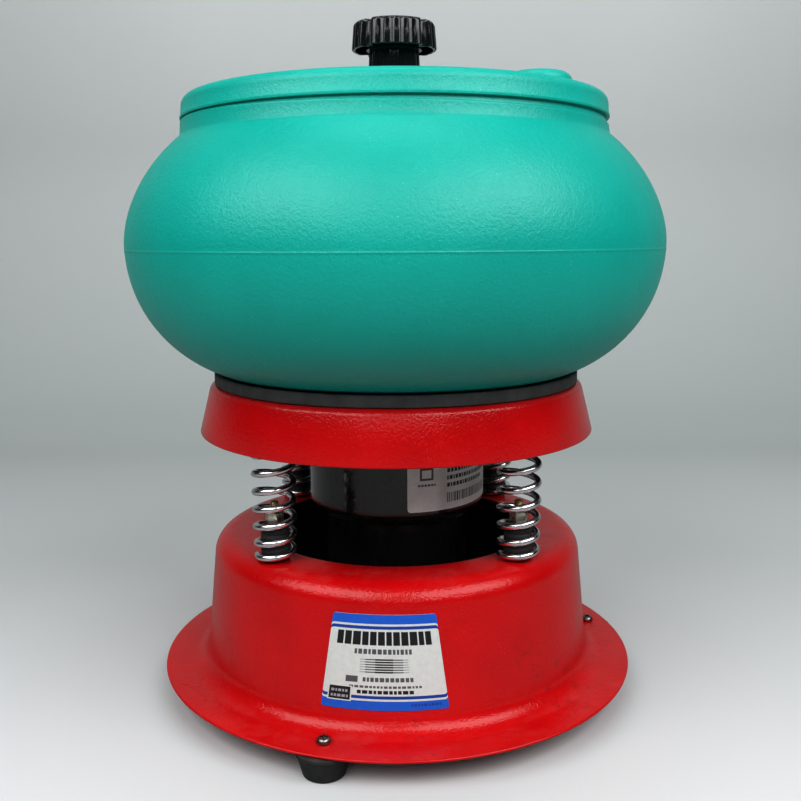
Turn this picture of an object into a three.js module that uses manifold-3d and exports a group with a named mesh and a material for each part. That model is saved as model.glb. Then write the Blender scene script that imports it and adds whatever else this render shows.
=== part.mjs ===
// Vibratory rock tumbler: a ring-shaped tub with a lid stands on a pan that is carried by four coil
// springs over a sheet steel base. A motor with an eccentric weight on each end of its shaft hangs
// from the pan through a hole in the base, and shakes everything above the springs.
//
// Millimetres, +Z up. The origin is on the floor under the middle of the object; the front is -Y.

import * as THREE from 'three';
import { mergeVertices } from 'three/addons/utils/BufferGeometryUtils.js';
import Module from 'manifold-3d';

// ---- driving dimensions ----

const GAP = 0.3; // between pieces that touch
const SHEET = 1.8; // pressed steel
const WALL = 4; // moulded polyethylene
const ROUND = 32; // sides of a large turned piece
const MIDDLE_ROUND = 24; // sides of a middling one
const SMALL_ROUND = 10; // sides of a small one

// base
const FLANGE_R = 141.2;
const FLANGE_TOP = 16.3;
const FLANGE_BEND_R = 11; // between flange and side
const BASE_TOP = 93;
const BASE_TOP_R = 98; // flat part of the top
const BASE_SHOULDER_R = 12;
const BASE_DRAFT = THREE.MathUtils.degToRad(5.3); // slope of the side
const BASE_HOLE_R = 79;
const FOOT_CIRCLE_R = 128.5;
const FOOT_ANGLES = [-106.8, 13.2, 133.2].map(THREE.MathUtils.degToRad);
const FOOT_TOP_R = 14;
const FOOT_BOTTOM_R = 10.8;
const FOOT_SCREW_R = 2;
const GLAND_Z = 45;
const GLAND_R = 7;
const BASE_LABEL = { width: 59.7, height: 49.5, z: 53.7, angle: THREE.MathUtils.degToRad(-93.4) };

// springs
const SPRING_CIRCLE_R = 93.5;
const SPRING_ANGLES = [-135, -45, 45, 135].map(THREE.MathUtils.degToRad);
const SPRING_WIRE_R = 1.7;
const SPRING_COIL_R = 10.8; // to the middle of the wire
const SPRING_PITCH = 10;
const SPRING_END_PITCH = 5; // over the first and last turn
const SPRING_START = Math.PI; // where the wire's lower end is
const POST_R = 8.3;
const POST_HEIGHT = 19.5;
const POST_TAPER = 1.2;
const SPRING_NUT_HEIGHT = 6.5;
const SPRING_SCREW_R = 2.5;

// pan and gasket
const PAN_TOP = 183;
const PAN_BOTTOM = 154.9;
const PAN_TOP_R = 109.8;
const PAN_BOTTOM_R = 115.8;
const PAN_EDGE_R = 4;
const GASKET_R = 106.7;
const GASKET_TOP = 189.7;
const STUD_R = 4;
const STUD_BOTTOM = 173;
const STUD_TOP = 366;
const STUD_NUT = { acrossFlats: 13, height: 6.5 };

// motor
const MOTOR_R = 52.3;
const MOTOR_TOP = 158;
const MOTOR_SHELL_BOTTOM = 104.5;
const BELL_R = 42.6;
const BELL_BOTTOM = 66;
const MOTOR_BOLT_CIRCLE_R = 42;
const MOTOR_BOLT_ANGLES = [30, 150, 270].map(THREE.MathUtils.degToRad);
const MOTOR_BOLT_R = 3;
const SPACER_R = 6;
const MOTOR_LABEL = { width: 70, height: 38, z: 133.2, angle: THREE.MathUtils.degToRad(-45) };
const SHAFT_R = 6;
const SHAFT_HOLE_R = 9; // in the shell and the end bell
const SHAFT_BOTTOM = 42;
const SHAFT_TOP = 169;
const BEARING_R = 13;
const BEARING_WIDTH = 9;
const ROTOR_R = 24.4;
const ROTOR = { bottom: 86, top: 136 };
const AIR_GAP = 0.8; // between rotor and stator
const UPPER_WEIGHT = { r: 33, bottom: 159.5, height: 8.5 };
const LOWER_WEIGHT = { r: 36, bottom: 45, height: 14 };

// bowl
const BOWL_R = 153;
const EQUATOR_Z = 262.7;
const UPPER_FLANK = { width: 71.3, height: 74.2, power: 2 / 1.76 };
const LOWER_FLANK = { width: 79.3, height: 77.3, power: 2 / 2.06 };
const NECK_R = 120.3;
const NECK_TOP = 328;
const LIP_R = 116.8;
const LIP_TOP = 335.9;
const CENTRE_POST = { bottomR: 34, topR: 16, top: 313 };

// lid and knob
const LID_R = 120.5;
const LID_BOTTOM = 330;
const LID_TOP = 342.5;
const LID_EDGE_R = 4.5;
const LID_WALL = 3.5;
const LID_RIM_WALL = 2.8;
const LID_HUB = { topR: 32, bottomR: 36.5, top: 350.5 };
const LID_BOSS = { x: 72, y: -66, r: 15.5, top: 347.3 };
const KNOB_BOTTOM = 352.3;
const KNOB_HEAD_BOTTOM = 370;
const KNOB_TOP = 385;
const KNOB_R = 24.1;
const KNOB_HUB_R = 14.8;
const KNOB_BORE_R = 7;
const KNOB_NOTCH = 4;
const KNOB_LOBES = 4;
const KNOB_TURN = THREE.MathUtils.degToRad(3.5);

// ---- materials ----

const paint = (color, roughness, metalness) => () =>
  new THREE.MeshStandardMaterial({ color, roughness, metalness });

const redPaint = paint(0xbe1219, 0.35, 0.1);
const blackPaint = paint(0x141214, 0.25, 0.1);
const tubPlastic = paint(0x19c4b0, 0.45, 0);
const blackPlastic = paint(0x1c2022, 0.25, 0);
const rubber = paint(0x2b2b2b, 0.8, 0);
const brightSteel = paint(0xc8cacc, 0.2, 1);
const zincSteel = paint(0xb9b6a6, 0.35, 1);
const castIron = paint(0x4a4c4e, 0.6, 0.8);
const laminations = paint(0x7d7f82, 0.5, 0.9);
const brass = paint(0xb99a4d, 0.35, 1);
const whiteLabel = paint(0xe8eae8, 0.4, 0);
const silverLabel = paint(0xc5c7c6, 0.35, 0.4);

// ---- geometry helpers ----

const wasm = await Module();
wasm.setup();

// A turned piece. The profile is a closed loop of [radius, height], counter-clockwise.
function turned(profile, sides = ROUND) {
  const points = [...profile, profile[0]].map(([r, z]) => new THREE.Vector2(r, z));
  return new THREE.LatheGeometry(points, sides).rotateX(Math.PI / 2);
}

// A turned piece that reaches the axis: the profile runs from the bottom's middle to the top's.
function turnedSolid(profile, sides = ROUND) {
  const points = profile.map(([r, z]) => new THREE.Vector2(r, z));
  return new THREE.LatheGeometry(points, sides).rotateX(Math.PI / 2);
}

function ring(innerR, outerR, bottom, top, sides = SMALL_ROUND) {
  return turned([[innerR, bottom], [outerR, bottom], [outerR, top], [innerR, top]], sides);
}

function rod(r, bottom, top, sides = SMALL_ROUND) {
  return turnedSolid([[0, bottom], [r, bottom], [r, top], [0, top]], sides);
}

// Points of an arc in the profile's plane, from one angle to another in degrees.
function arc(r, z, radius, fromDeg, toDeg, steps = 4) {
  return Array.from({ length: steps + 1 }, (_, i) => {
    const angle = THREE.MathUtils.degToRad(fromDeg + ((toDeg - fromDeg) * i) / steps);
    return [r + radius * Math.cos(angle), z + radius * Math.sin(angle)];
  });
}

function prism(shape, bottom, height, options = {}) {
  const settings = { depth: height, bevelEnabled: false, ...options };
  return new THREE.ExtrudeGeometry(shape, settings).translate(0, 0, bottom);
}

function toManifold(geometry) {
  const bare = geometry.clone();
  bare.deleteAttribute('normal');
  bare.deleteAttribute('uv');
  const merged = mergeVertices(bare);
  return new wasm.Manifold(new wasm.Mesh({
    numProp: 3,
    vertProperties: new Float32Array(merged.attributes.position.array),
    triVerts: new Uint32Array(merged.index.array),
  }));
}

function toGeometry(manifold) {
  const mesh = manifold.getMesh();
  const geometry = new THREE.BufferGeometry();
  geometry.setAttribute('position', new THREE.BufferAttribute(mesh.vertProperties, 3));
  geometry.setIndex(new THREE.BufferAttribute(mesh.triVerts, 1));
  return geometry;
}

function cut(geometry, ...tools) {
  return toGeometry(tools.reduce((body, tool) => body.subtract(toManifold(tool)), toManifold(geometry)));
}

function join(geometry, ...others) {
  return toGeometry(others.reduce((body, other) => body.add(toManifold(other)), toManifold(geometry)));
}

const onCircle = (radius, angle) => [radius * Math.cos(angle), radius * Math.sin(angle)];

// Corners of a regular polygon.
function polygon(sides, radius) {
  return Array.from({ length: sides }, (_, i) => {
    return new THREE.Vector2(...onCircle(radius, (i / sides) * 2 * Math.PI));
  });
}

// A copy of the geometry at each angle of a circle.
function around(radius, angles, geometry) {
  return angles.map((angle) => geometry.clone().translate(...onCircle(radius, angle), 0));
}

function add(parent, name, geometry, finish, x = 0, y = 0, z = 0) {
  const mesh = new THREE.Mesh(geometry, finish());
  mesh.name = name;
  mesh.position.set(x, y, z);
  parent.add(mesh);
  return mesh;
}

// One mesh at each angle of a circle, named name_1, name_2 and so on.
function addAround(parent, name, radius, angles, geometry, finish) {
  angles.forEach((angle, i) => {
    add(parent, `${name}_${i + 1}`, geometry.clone(), finish, ...onCircle(radius, angle));
  });
}

// ---- fasteners ----

function hexNut(acrossFlats, bottom, height, holeR) {
  const shape = new THREE.Shape(polygon(6, acrossFlats / Math.sqrt(3)));
  shape.holes.push(new THREE.Path().absarc(0, 0, holeR, 0, 2 * Math.PI, true));
  return prism(shape, bottom, height, { curveSegments: 5 });
}

// Screw with a low domed head on top and its tip below, or upside down when headUp is -1.
function panHeadScrew(shankR, headR, headHeight, seat, length, headUp = 1) {
  const tip = shankR * 0.7;
  const screw = turnedSolid([
    [0, -length],
    [tip, -length],
    [shankR, -length + shankR],
    [shankR, 0],
    [headR, 0],
    [headR, headHeight * 0.5],
    [headR * 0.55, headHeight],
    [0, headHeight],
  ], 8);
  if (headUp < 0) screw.rotateX(Math.PI);
  return screw.translate(0, 0, seat);
}

// ---- base ----

const baseBend = {
  z: FLANGE_TOP + FLANGE_BEND_R,
  r: 126.3,
};

// Radius of the base's outer side at a height.
function baseSideR(z) {
  const lowR = baseBend.r - FLANGE_BEND_R / Math.cos(BASE_DRAFT);
  return lowR - (z - baseBend.z) * Math.tan(BASE_DRAFT);
}

function baseShell() {
  const draftDeg = THREE.MathUtils.radToDeg(BASE_DRAFT);
  const shoulderZ = BASE_TOP - BASE_SHOULDER_R;
  const under = [
    [BASE_HOLE_R, BASE_TOP - SHEET],
    ...arc(BASE_TOP_R, shoulderZ, BASE_SHOULDER_R - SHEET, 90, draftDeg),
    ...arc(baseBend.r, baseBend.z, FLANGE_BEND_R + SHEET, 180 + draftDeg, 270),
    [FLANGE_R, FLANGE_TOP - SHEET],
  ];
  const over = [
    [FLANGE_R, FLANGE_TOP],
    ...arc(baseBend.r, baseBend.z, FLANGE_BEND_R, 270, 180 + draftDeg),
    ...arc(BASE_TOP_R, shoulderZ, BASE_SHOULDER_R, draftDeg, 90),
    [BASE_HOLE_R, BASE_TOP],
  ];
  return turned([...under, ...over]);
}

// Turns a piece made along +Z so that it points out of the base's rear side at the gland's height.
function placeGland(geometry) {
  return geometry
    .rotateX(-Math.PI / 2 + BASE_DRAFT)
    .translate(0, baseSideR(GLAND_Z), GLAND_Z);
}

function cordGland() {
  const boreR = 4.4;
  const inside = -8;
  const tip = 12;
  const flange = { r: 9.5, top: 2.6 };
  const tail = { bottomR: 6.6, topR: 5.8, bottom: 4 };
  return placeGland(turned([
    [boreR, inside],
    [GLAND_R, inside],
    [GLAND_R, GAP],
    [flange.r, GAP],
    [flange.r, flange.top],
    [tail.bottomR, tail.bottom],
    [tail.topR, tip],
    [boreR, tip],
  ], 16));
}

function foot() {
  const recess = { r: 7, top: 7 };
  const chamfer = 1;
  const top = FLANGE_TOP - SHEET - GAP;
  const holeR = FOOT_SCREW_R + GAP;
  return turned([
    [recess.r, 0],
    [FOOT_BOTTOM_R - chamfer, 0],
    [FOOT_BOTTOM_R, chamfer],
    [FOOT_TOP_R, top],
    [holeR, top],
    [holeR, recess.top],
    [recess.r, recess.top],
  ], 12);
}

// A thin rectangle bent round an upright cone, centred on an angle. It narrows with height by taper.
function wrappedLabel({ width, height, z, angle }, radiusAt, taper = 0) {
  const thickness = 0.25;
  const geometry = new THREE.BoxGeometry(width, thickness, height, 10, 1, 1);
  const at = geometry.attributes.position;
  for (let i = 0; i < at.count; i += 1) {
    const r = radiusAt(z + at.getZ(i)) + GAP + thickness / 2 - at.getY(i);
    const sideways = at.getX(i) * (1 - (taper * at.getZ(i)) / height);
    const turn = angle + sideways / radiusAt(z);
    at.setXYZ(i, r * Math.cos(turn), r * Math.sin(turn), z + at.getZ(i));
  }
  return geometry;
}

function buildBase() {
  const base = new THREE.Group();
  const footHole = rod(FOOT_SCREW_R + GAP, 0, BASE_TOP / 2, 8);
  const springHole = rod(SPRING_SCREW_R + GAP, BASE_TOP - 10, BASE_TOP + 10, 8);
  const shell = cut(
    baseShell(),
    ...around(FOOT_CIRCLE_R, FOOT_ANGLES, footHole),
    ...around(SPRING_CIRCLE_R, SPRING_ANGLES, springHole),
    placeGland(rod(GLAND_R + GAP, -12, 12, 16)),
  );
  add(base, 'base_housing', shell, redPaint);
  add(base, 'cord_gland', cordGland(), blackPlastic);
  add(base, 'base_label', wrappedLabel(BASE_LABEL, baseSideR, 0.2), whiteLabel);

  const footScrew = panHeadScrew(FOOT_SCREW_R, 3.7, 2.8, FLANGE_TOP + GAP, 14.6);
  const footNut = hexNut(7, 3.5, 3.2, FOOT_SCREW_R + GAP);
  addAround(base, 'foot', FOOT_CIRCLE_R, FOOT_ANGLES, foot(), rubber);
  addAround(base, 'foot_screw', FOOT_CIRCLE_R, FOOT_ANGLES, footScrew, zincSteel);
  addAround(base, 'foot_nut', FOOT_CIRCLE_R, FOOT_ANGLES, footNut, zincSteel);
  return base;
}

// ---- springs and their posts ----

// Helix whose first and last turn are closer, from one end's height to the other's.
class SpringCurve extends THREE.Curve {
  constructor(bottom, top) {
    super();
    this.bottom = bottom;
    this.height = top - bottom;
    this.turns = 2 + (this.height - 2 * SPRING_END_PITCH) / SPRING_PITCH;
  }

  getPoint(t, target = new THREE.Vector3()) {
    const turn = t * this.turns;
    const low = Math.min(turn, 1) * SPRING_END_PITCH;
    const middle = Math.min(Math.max(turn - 1, 0), this.turns - 2) * SPRING_PITCH;
    const high = Math.max(turn - this.turns + 1, 0) * SPRING_END_PITCH;
    const angle = SPRING_START + turn * 2 * Math.PI;
    const [x, y] = onCircle(SPRING_COIL_R, angle);
    return target.set(x, y, this.bottom + low + middle + high);
  }
}

function spring() {
  const section = new THREE.Shape(polygon(5, SPRING_WIRE_R));
  const room = GAP + SPRING_WIRE_R;
  const path = new SpringCurve(BASE_TOP + room, PAN_TOP - SHEET - room);
  const steps = Math.round(path.turns * 8);
  return new THREE.ExtrudeGeometry(section, { extrudePath: path, steps });
}

function springPost(bottom, taperUp) {
  const narrow = POST_R - POST_TAPER;
  const [low, high] = taperUp ? [POST_R, narrow] : [narrow, POST_R];
  const holeR = SPRING_SCREW_R + GAP;
  const top = bottom + POST_HEIGHT;
  return turned([[holeR, bottom], [low, bottom], [high, top], [holeR, top]], SMALL_ROUND);
}

const lowerPostTop = BASE_TOP + GAP + POST_HEIGHT;
const upperPostBottom = PAN_TOP - SHEET - GAP - POST_HEIGHT;

function buildSpringSeats() {
  const seats = new THREE.Group();
  const holeR = SPRING_SCREW_R + GAP;
  const screwLength = SHEET + POST_HEIGHT + SPRING_NUT_HEIGHT + 7;
  const seat = BASE_TOP - SHEET - GAP;
  const screw = panHeadScrew(SPRING_SCREW_R, 4.5, 3.4, seat, screwLength, -1);
  const lowerNut = hexNut(9, lowerPostTop + GAP, SPRING_NUT_HEIGHT, holeR);
  const upperNut = hexNut(9, upperPostBottom - GAP - SPRING_NUT_HEIGHT, SPRING_NUT_HEIGHT, holeR);
  const place = [SPRING_CIRCLE_R, SPRING_ANGLES];
  addAround(seats, 'spring', ...place, spring(), brightSteel);
  addAround(seats, 'lower_spring_post', ...place, springPost(BASE_TOP + GAP, true), rubber);
  addAround(seats, 'lower_spring_screw', ...place, screw, zincSteel);
  addAround(seats, 'lower_spring_nut', ...place, lowerNut, zincSteel);
  addAround(seats, 'upper_spring_post', ...place, springPost(upperPostBottom, false), rubber);
  addAround(seats, 'upper_spring_nut', ...place, upperNut, zincSteel);
  return seats;
}

// ---- pan ----

function panShell() {
  const flareDeg = 13.5;
  const edge = { r: PAN_TOP_R - PAN_EDGE_R, z: PAN_TOP - PAN_EDGE_R };
  const holeR = STUD_R + GAP;
  return turned([
    [holeR, PAN_TOP - SHEET],
    ...arc(edge.r, edge.z, PAN_EDGE_R - SHEET, 90, flareDeg, 2),
    [PAN_BOTTOM_R - SHEET, PAN_BOTTOM],
    [PAN_BOTTOM_R, PAN_BOTTOM],
    ...arc(edge.r, edge.z, PAN_EDGE_R, flareDeg, 90, 3),
    [holeR, PAN_TOP],
  ]);
}

// Ring of rubber with a dished rim, which the bowl sits in.
function gasket() {
  const holeR = 12;
  const chamfer = 0.6;
  const rim = 1.2;
  const bottom = PAN_TOP + GAP;
  const dish = { r: LOWER_FLANK.width, z: EQUATOR_Z - LOWER_FLANK.height - GAP };
  const bend = { r: 94, z: dish.z + 1.9 };
  return turned([
    [holeR, bottom],
    [GASKET_R, bottom],
    [GASKET_R, GASKET_TOP - chamfer],
    [GASKET_R - chamfer, GASKET_TOP],
    [GASKET_R - chamfer - rim, GASKET_TOP],
    [bend.r, bend.z],
    [dish.r, dish.z],
    [holeR, dish.z],
  ]);
}

function centreStud() {
  const collar = { r: 8, top: PAN_TOP + 6 };
  const chamfer = 1;
  return turnedSolid([
    [0, STUD_BOTTOM],
    [STUD_R, STUD_BOTTOM],
    [STUD_R, PAN_TOP + GAP],
    [collar.r, PAN_TOP + GAP],
    [collar.r, collar.top],
    [STUD_R, collar.top],
    [STUD_R, STUD_TOP - chamfer],
    [STUD_R - chamfer, STUD_TOP],
    [0, STUD_TOP],
  ]);
}

function buildPan() {
  const pan = new THREE.Group();
  const inSheet = PAN_TOP - SHEET / 2;
  const studTip = upperPostBottom - GAP - SPRING_NUT_HEIGHT - 4;
  const spacer = rod(SPACER_R, MOTOR_TOP + GAP, inSheet);
  const springStud = rod(SPRING_SCREW_R, studTip, inSheet, 8);
  const boltHole = rod(MOTOR_BOLT_R + GAP, MOTOR_TOP - 1, PAN_TOP - SHEET - 4, 8);
  const shell = cut(
    join(
      panShell(),
      ...around(MOTOR_BOLT_CIRCLE_R, MOTOR_BOLT_ANGLES, spacer),
      ...around(SPRING_CIRCLE_R, SPRING_ANGLES, springStud),
    ),
    ...around(MOTOR_BOLT_CIRCLE_R, MOTOR_BOLT_ANGLES, boltHole),
  );
  add(pan, 'top_pan', shell, redPaint);

  add(pan, 'gasket_disc', gasket(), rubber);
  add(pan, 'centre_stud', centreStud(), zincSteel);
  const nutBottom = PAN_TOP - SHEET - GAP - STUD_NUT.height;
  const nut = hexNut(STUD_NUT.acrossFlats, nutBottom, STUD_NUT.height, STUD_R + GAP);
  add(pan, 'stud_nut', nut, zincSteel);
  return pan;
}

// ---- motor ----

const bearingSeat = { innerR: BEARING_R + GAP, outerR: BEARING_R + GAP + 3 };
const upperBearing = { top: MOTOR_TOP - SHEET - GAP };
const lowerBearing = { top: BELL_BOTTOM + SHEET + GAP + BEARING_WIDTH };

function motorShell() {
  const inner = MOTOR_R - SHEET;
  const ceiling = MOTOR_TOP - SHEET;
  const topShoulder = 4;
  const shoulder = 9;
  return turned([
    [SHAFT_HOLE_R, ceiling],
    [bearingSeat.innerR, ceiling],
    [bearingSeat.innerR, ceiling - BEARING_WIDTH],
    [bearingSeat.outerR, ceiling - BEARING_WIDTH],
    [bearingSeat.outerR, ceiling],
    [inner, ceiling],
    [inner, MOTOR_SHELL_BOTTOM + shoulder],
    [BELL_R + GAP, MOTOR_SHELL_BOTTOM + SHEET],
    [BELL_R + GAP, MOTOR_SHELL_BOTTOM],
    ...arc(MOTOR_R - shoulder, MOTOR_SHELL_BOTTOM + shoulder, shoulder, -90, 0, 3),
    ...arc(MOTOR_R - topShoulder, MOTOR_TOP - topShoulder, topShoulder, 0, 90, 3),
    [SHAFT_HOLE_R, MOTOR_TOP],
  ], MIDDLE_ROUND);
}

function endBell() {
  const cornerR = 8;
  const corner = { r: BELL_R - cornerR, z: BELL_BOTTOM + cornerR };
  const floor = BELL_BOTTOM + SHEET;
  const bellTop = MOTOR_SHELL_BOTTOM + 10;
  return turned([
    [SHAFT_HOLE_R, BELL_BOTTOM],
    ...arc(corner.r, corner.z, cornerR, -90, 0, 3),
    [BELL_R, bellTop],
    [BELL_R - SHEET, bellTop],
    ...arc(corner.r, corner.z, cornerR - SHEET, 0, -90, 2),
    [bearingSeat.outerR, floor],
    [bearingSeat.outerR, floor + BEARING_WIDTH],
    [bearingSeat.innerR, floor + BEARING_WIDTH],
    [bearingSeat.innerR, floor],
    [SHAFT_HOLE_R, floor],
  ], MIDDLE_ROUND);
}

// Half a thick disc with a round hub, bored for the shaft.
function eccentricWeight({ r, bottom, height }) {
  const hubR = 12;
  const shape = new THREE.Shape();
  shape.moveTo(r, 0);
  shape.absarc(0, 0, r, 0, Math.PI, false);
  shape.lineTo(-hubR, 0);
  shape.absarc(0, 0, hubR, Math.PI, 2 * Math.PI, false);
  shape.holes.push(new THREE.Path().absarc(0, 0, SHAFT_R + GAP, 0, 2 * Math.PI, true));
  return prism(shape, bottom, height, { curveSegments: 7 });
}

function buildMotor() {
  const motor = new THREE.Group();
  const boltHole = rod(MOTOR_BOLT_R + GAP, MOTOR_TOP - 8, MOTOR_TOP + 8, 8);
  const shell = cut(motorShell(), ...around(MOTOR_BOLT_CIRCLE_R, MOTOR_BOLT_ANGLES, boltHole));
  const boltSeat = MOTOR_TOP - SHEET - GAP;
  const bolt = panHeadScrew(MOTOR_BOLT_R, 5, 3.5, boltSeat, 18, -1);
  const stator = { innerR: ROTOR_R + AIR_GAP, outerR: BELL_R - SHEET - GAP };
  add(motor, 'motor_housing', shell, blackPaint);
  add(motor, 'motor_end_bell', endBell(), blackPaint);
  addAround(motor, 'motor_bolt', MOTOR_BOLT_CIRCLE_R, MOTOR_BOLT_ANGLES, bolt, zincSteel);
  add(motor, 'motor_label', wrappedLabel(MOTOR_LABEL, () => MOTOR_R), silverLabel);
  const stack = ring(stator.innerR, stator.outerR, ROTOR.bottom - 2, ROTOR.top + 2, MIDDLE_ROUND);
  add(motor, 'motor_stator', stack, laminations);
  [['upper_bearing', upperBearing.top], ['lower_bearing', lowerBearing.top]].forEach(([name, top]) => {
    add(motor, name, ring(SHAFT_R + GAP, BEARING_R, top - BEARING_WIDTH, top, 16), brightSteel);
  });
  add(motor, 'motor_shaft', rod(SHAFT_R, SHAFT_BOTTOM, SHAFT_TOP), brightSteel);
  const core = ring(SHAFT_R + GAP, ROTOR_R, ROTOR.bottom, ROTOR.top, MIDDLE_ROUND);
  add(motor, 'rotor_core', core, laminations);
  add(motor, 'upper_weight', eccentricWeight(UPPER_WEIGHT), castIron);
  add(motor, 'lower_weight', eccentricWeight(LOWER_WEIGHT), castIron);
  return motor;
}

// ---- bowl ----

// A quarter of a superellipse from the bowl's widest place, inset by the wall when inside.
function flank({ width, height, power }, direction, inset, fromDeg, toDeg, steps) {
  const centreR = BOWL_R - width;
  return arc(0, 0, 1, fromDeg, toDeg, steps).map(([cos, sin]) => [
    centreR + (width - inset) * Math.max(cos, 0) ** power,
    EQUATOR_Z + direction * (height - inset) * Math.max(sin, 0) ** power,
  ]);
}

function bowl() {
  const holeR = STUD_R + 1;
  const post = CENTRE_POST;
  const bottom = EQUATOR_Z - LOWER_FLANK.height;
  const neckInnerR = LIP_R - WALL;
  return turned([
    [holeR, post.top - WALL],
    [post.topR - WALL, post.top - WALL],
    [post.bottomR - WALL, bottom],
    ...flank(LOWER_FLANK, -1, 0, 90, 0, 8),
    ...flank(UPPER_FLANK, 1, 0, 9, 54.4, 6),
    [NECK_R, NECK_TOP],
    [LIP_R, NECK_TOP],
    [LIP_R, LIP_TOP],
    [neckInnerR, LIP_TOP],
    ...flank(UPPER_FLANK, 1, WALL, 59.7, 8, 4),
    ...flank(LOWER_FLANK, -1, WALL, 0, 90, 6),
    [post.bottomR + 4, bottom + WALL],
    [post.bottomR, bottom + WALL + 5],
    [post.topR, post.top],
    [holeR, post.top],
  ]);
}

function buildBowl() {
  const tub = new THREE.Group();
  const seat = CENTRE_POST.top + GAP;
  const nutFlange = { r: 11, thickness: 2 };
  const nut = join(
    hexNut(STUD_NUT.acrossFlats, seat + 1.5, 6, STUD_R + GAP),
    ring(STUD_R + GAP, nutFlange.r, seat, seat + nutFlange.thickness, 10),
  );
  add(tub, 'bowl', bowl(), tubPlastic);
  add(tub, 'bowl_nut', nut, zincSteel);
  return tub;
}

// ---- lid and knob ----

function lidShell() {
  const holeR = STUD_R + 0.8;
  const under = LID_TOP - LID_WALL;
  const hubUnder = LID_HUB.top - LID_WALL;
  const hubSide = 1.5; // the hub's slanting side, measured level
  const spigot = { outerR: LIP_R - WALL - 0.9, innerR: LIP_R - WALL - 4.2, bottom: under - 8 };
  return turned([
    [holeR, hubUnder],
    [LID_HUB.topR - hubSide, hubUnder],
    [LID_HUB.bottomR - hubSide, under],
    [spigot.innerR, under],
    [spigot.innerR, spigot.bottom],
    [spigot.outerR, spigot.bottom],
    [spigot.outerR, under],
    [LID_R - LID_RIM_WALL, under],
    [LID_R - LID_RIM_WALL, LID_BOTTOM],
    [LID_R, LID_BOTTOM],
    ...arc(LID_R - LID_EDGE_R, LID_TOP - LID_EDGE_R, LID_EDGE_R, 0, 90, 3),
    [LID_HUB.bottomR, LID_TOP],
    [LID_HUB.topR, LID_HUB.top],
    [holeR, LID_HUB.top],
  ]);
}

// Outline of the knob's head: lobes with a narrow notch between each two.
function knobOutline() {
  const points = Array.from({ length: 56 }, (_, i) => {
    const angle = (i / 56) * 2 * Math.PI;
    const notch = Math.sin((angle * KNOB_LOBES) / 2) ** 16;
    return new THREE.Vector2(...onCircle(KNOB_R - KNOB_NOTCH * notch, angle + KNOB_TURN));
  });
  return new THREE.Shape(points);
}

function knob() {
  const bevel = 1.4;
  const head = prism(knobOutline(), KNOB_HEAD_BOTTOM + bevel, KNOB_TOP - KNOB_HEAD_BOTTOM - 2 * bevel, {
    bevelEnabled: true,
    bevelThickness: bevel,
    bevelSize: bevel,
    bevelOffset: -bevel,
    bevelSegments: 1,
  });
  const hub = rod(KNOB_HUB_R, KNOB_BOTTOM, KNOB_HEAD_BOTTOM + 3, 24);
  return cut(join(head, hub), rod(KNOB_BORE_R, KNOB_BOTTOM - 1, STUD_TOP + 3));
}

function buildLid() {
  const cover = new THREE.Group();
  const boss = rod(LID_BOSS.r, LID_TOP - 2, LID_BOSS.top, 20).translate(LID_BOSS.x, LID_BOSS.y, 0);
  const sealTop = LID_TOP - LID_WALL - GAP;
  const washer = ring(STUD_R + 0.6, 13, LID_HUB.top + GAP, KNOB_BOTTOM - GAP, 20);
  const insert = ring(STUD_R + 0.4, KNOB_BORE_R - 0.4, KNOB_BOTTOM + 0.5, STUD_TOP + 2);
  add(cover, 'lid', join(lidShell(), boss), tubPlastic);
  add(cover, 'lid_seal', ring(LIP_R - WALL, LIP_R - 0.2, LIP_TOP + GAP, sealTop, ROUND), rubber);
  add(cover, 'knob_washer', washer, zincSteel);
  add(cover, 'knob', knob(), blackPlastic);
  add(cover, 'knob_insert', insert, brass);
  return cover;
}

// ---- the whole object ----

const tumbler = new THREE.Group();
tumbler.add(buildBase(), buildSpringSeats(), buildPan(), buildMotor(), buildBowl(), buildLid());

export default tumbler;
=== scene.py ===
"""Vibratory rock tumbler: the looks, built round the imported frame.

Lengths in this script are in millimetres and are turned into Blender's metres by the mesh builders.
The frame's origin is on the floor under the middle of the object, +Z up, and the front is -Y.
"""

import math
import random

import bpy
import bmesh
from mathutils import Matrix, Vector


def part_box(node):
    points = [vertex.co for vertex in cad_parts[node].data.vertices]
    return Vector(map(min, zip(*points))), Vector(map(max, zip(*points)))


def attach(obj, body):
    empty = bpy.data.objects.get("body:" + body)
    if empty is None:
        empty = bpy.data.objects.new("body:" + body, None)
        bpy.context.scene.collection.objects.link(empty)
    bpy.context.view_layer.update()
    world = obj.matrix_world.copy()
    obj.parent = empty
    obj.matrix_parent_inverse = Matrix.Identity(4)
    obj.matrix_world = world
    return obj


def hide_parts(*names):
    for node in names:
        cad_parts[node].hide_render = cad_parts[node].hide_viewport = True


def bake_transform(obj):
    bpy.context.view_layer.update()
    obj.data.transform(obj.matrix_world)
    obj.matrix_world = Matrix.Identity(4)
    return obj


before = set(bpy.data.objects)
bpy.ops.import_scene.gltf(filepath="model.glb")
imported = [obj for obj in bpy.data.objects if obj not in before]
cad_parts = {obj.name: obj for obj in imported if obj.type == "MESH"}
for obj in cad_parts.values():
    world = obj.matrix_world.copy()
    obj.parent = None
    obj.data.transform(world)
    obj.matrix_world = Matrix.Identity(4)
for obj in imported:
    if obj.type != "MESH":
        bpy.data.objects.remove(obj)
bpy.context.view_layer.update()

MM = 0.001
TAU = 2 * math.pi


# ---- places read from the frame, in millimetres ----

def low(node):
    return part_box(node)[0] / MM


def high(node):
    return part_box(node)[1] / MM


def middle(node):
    return (low(node) + high(node)) / 2


def span(node):
    """A node's bottom and top."""
    return low(node).z, high(node).z


def numbered(name, count):
    return [f"{name}_{i}" for i in range(1, count + 1)]


# ---- mesh builders ----

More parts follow.
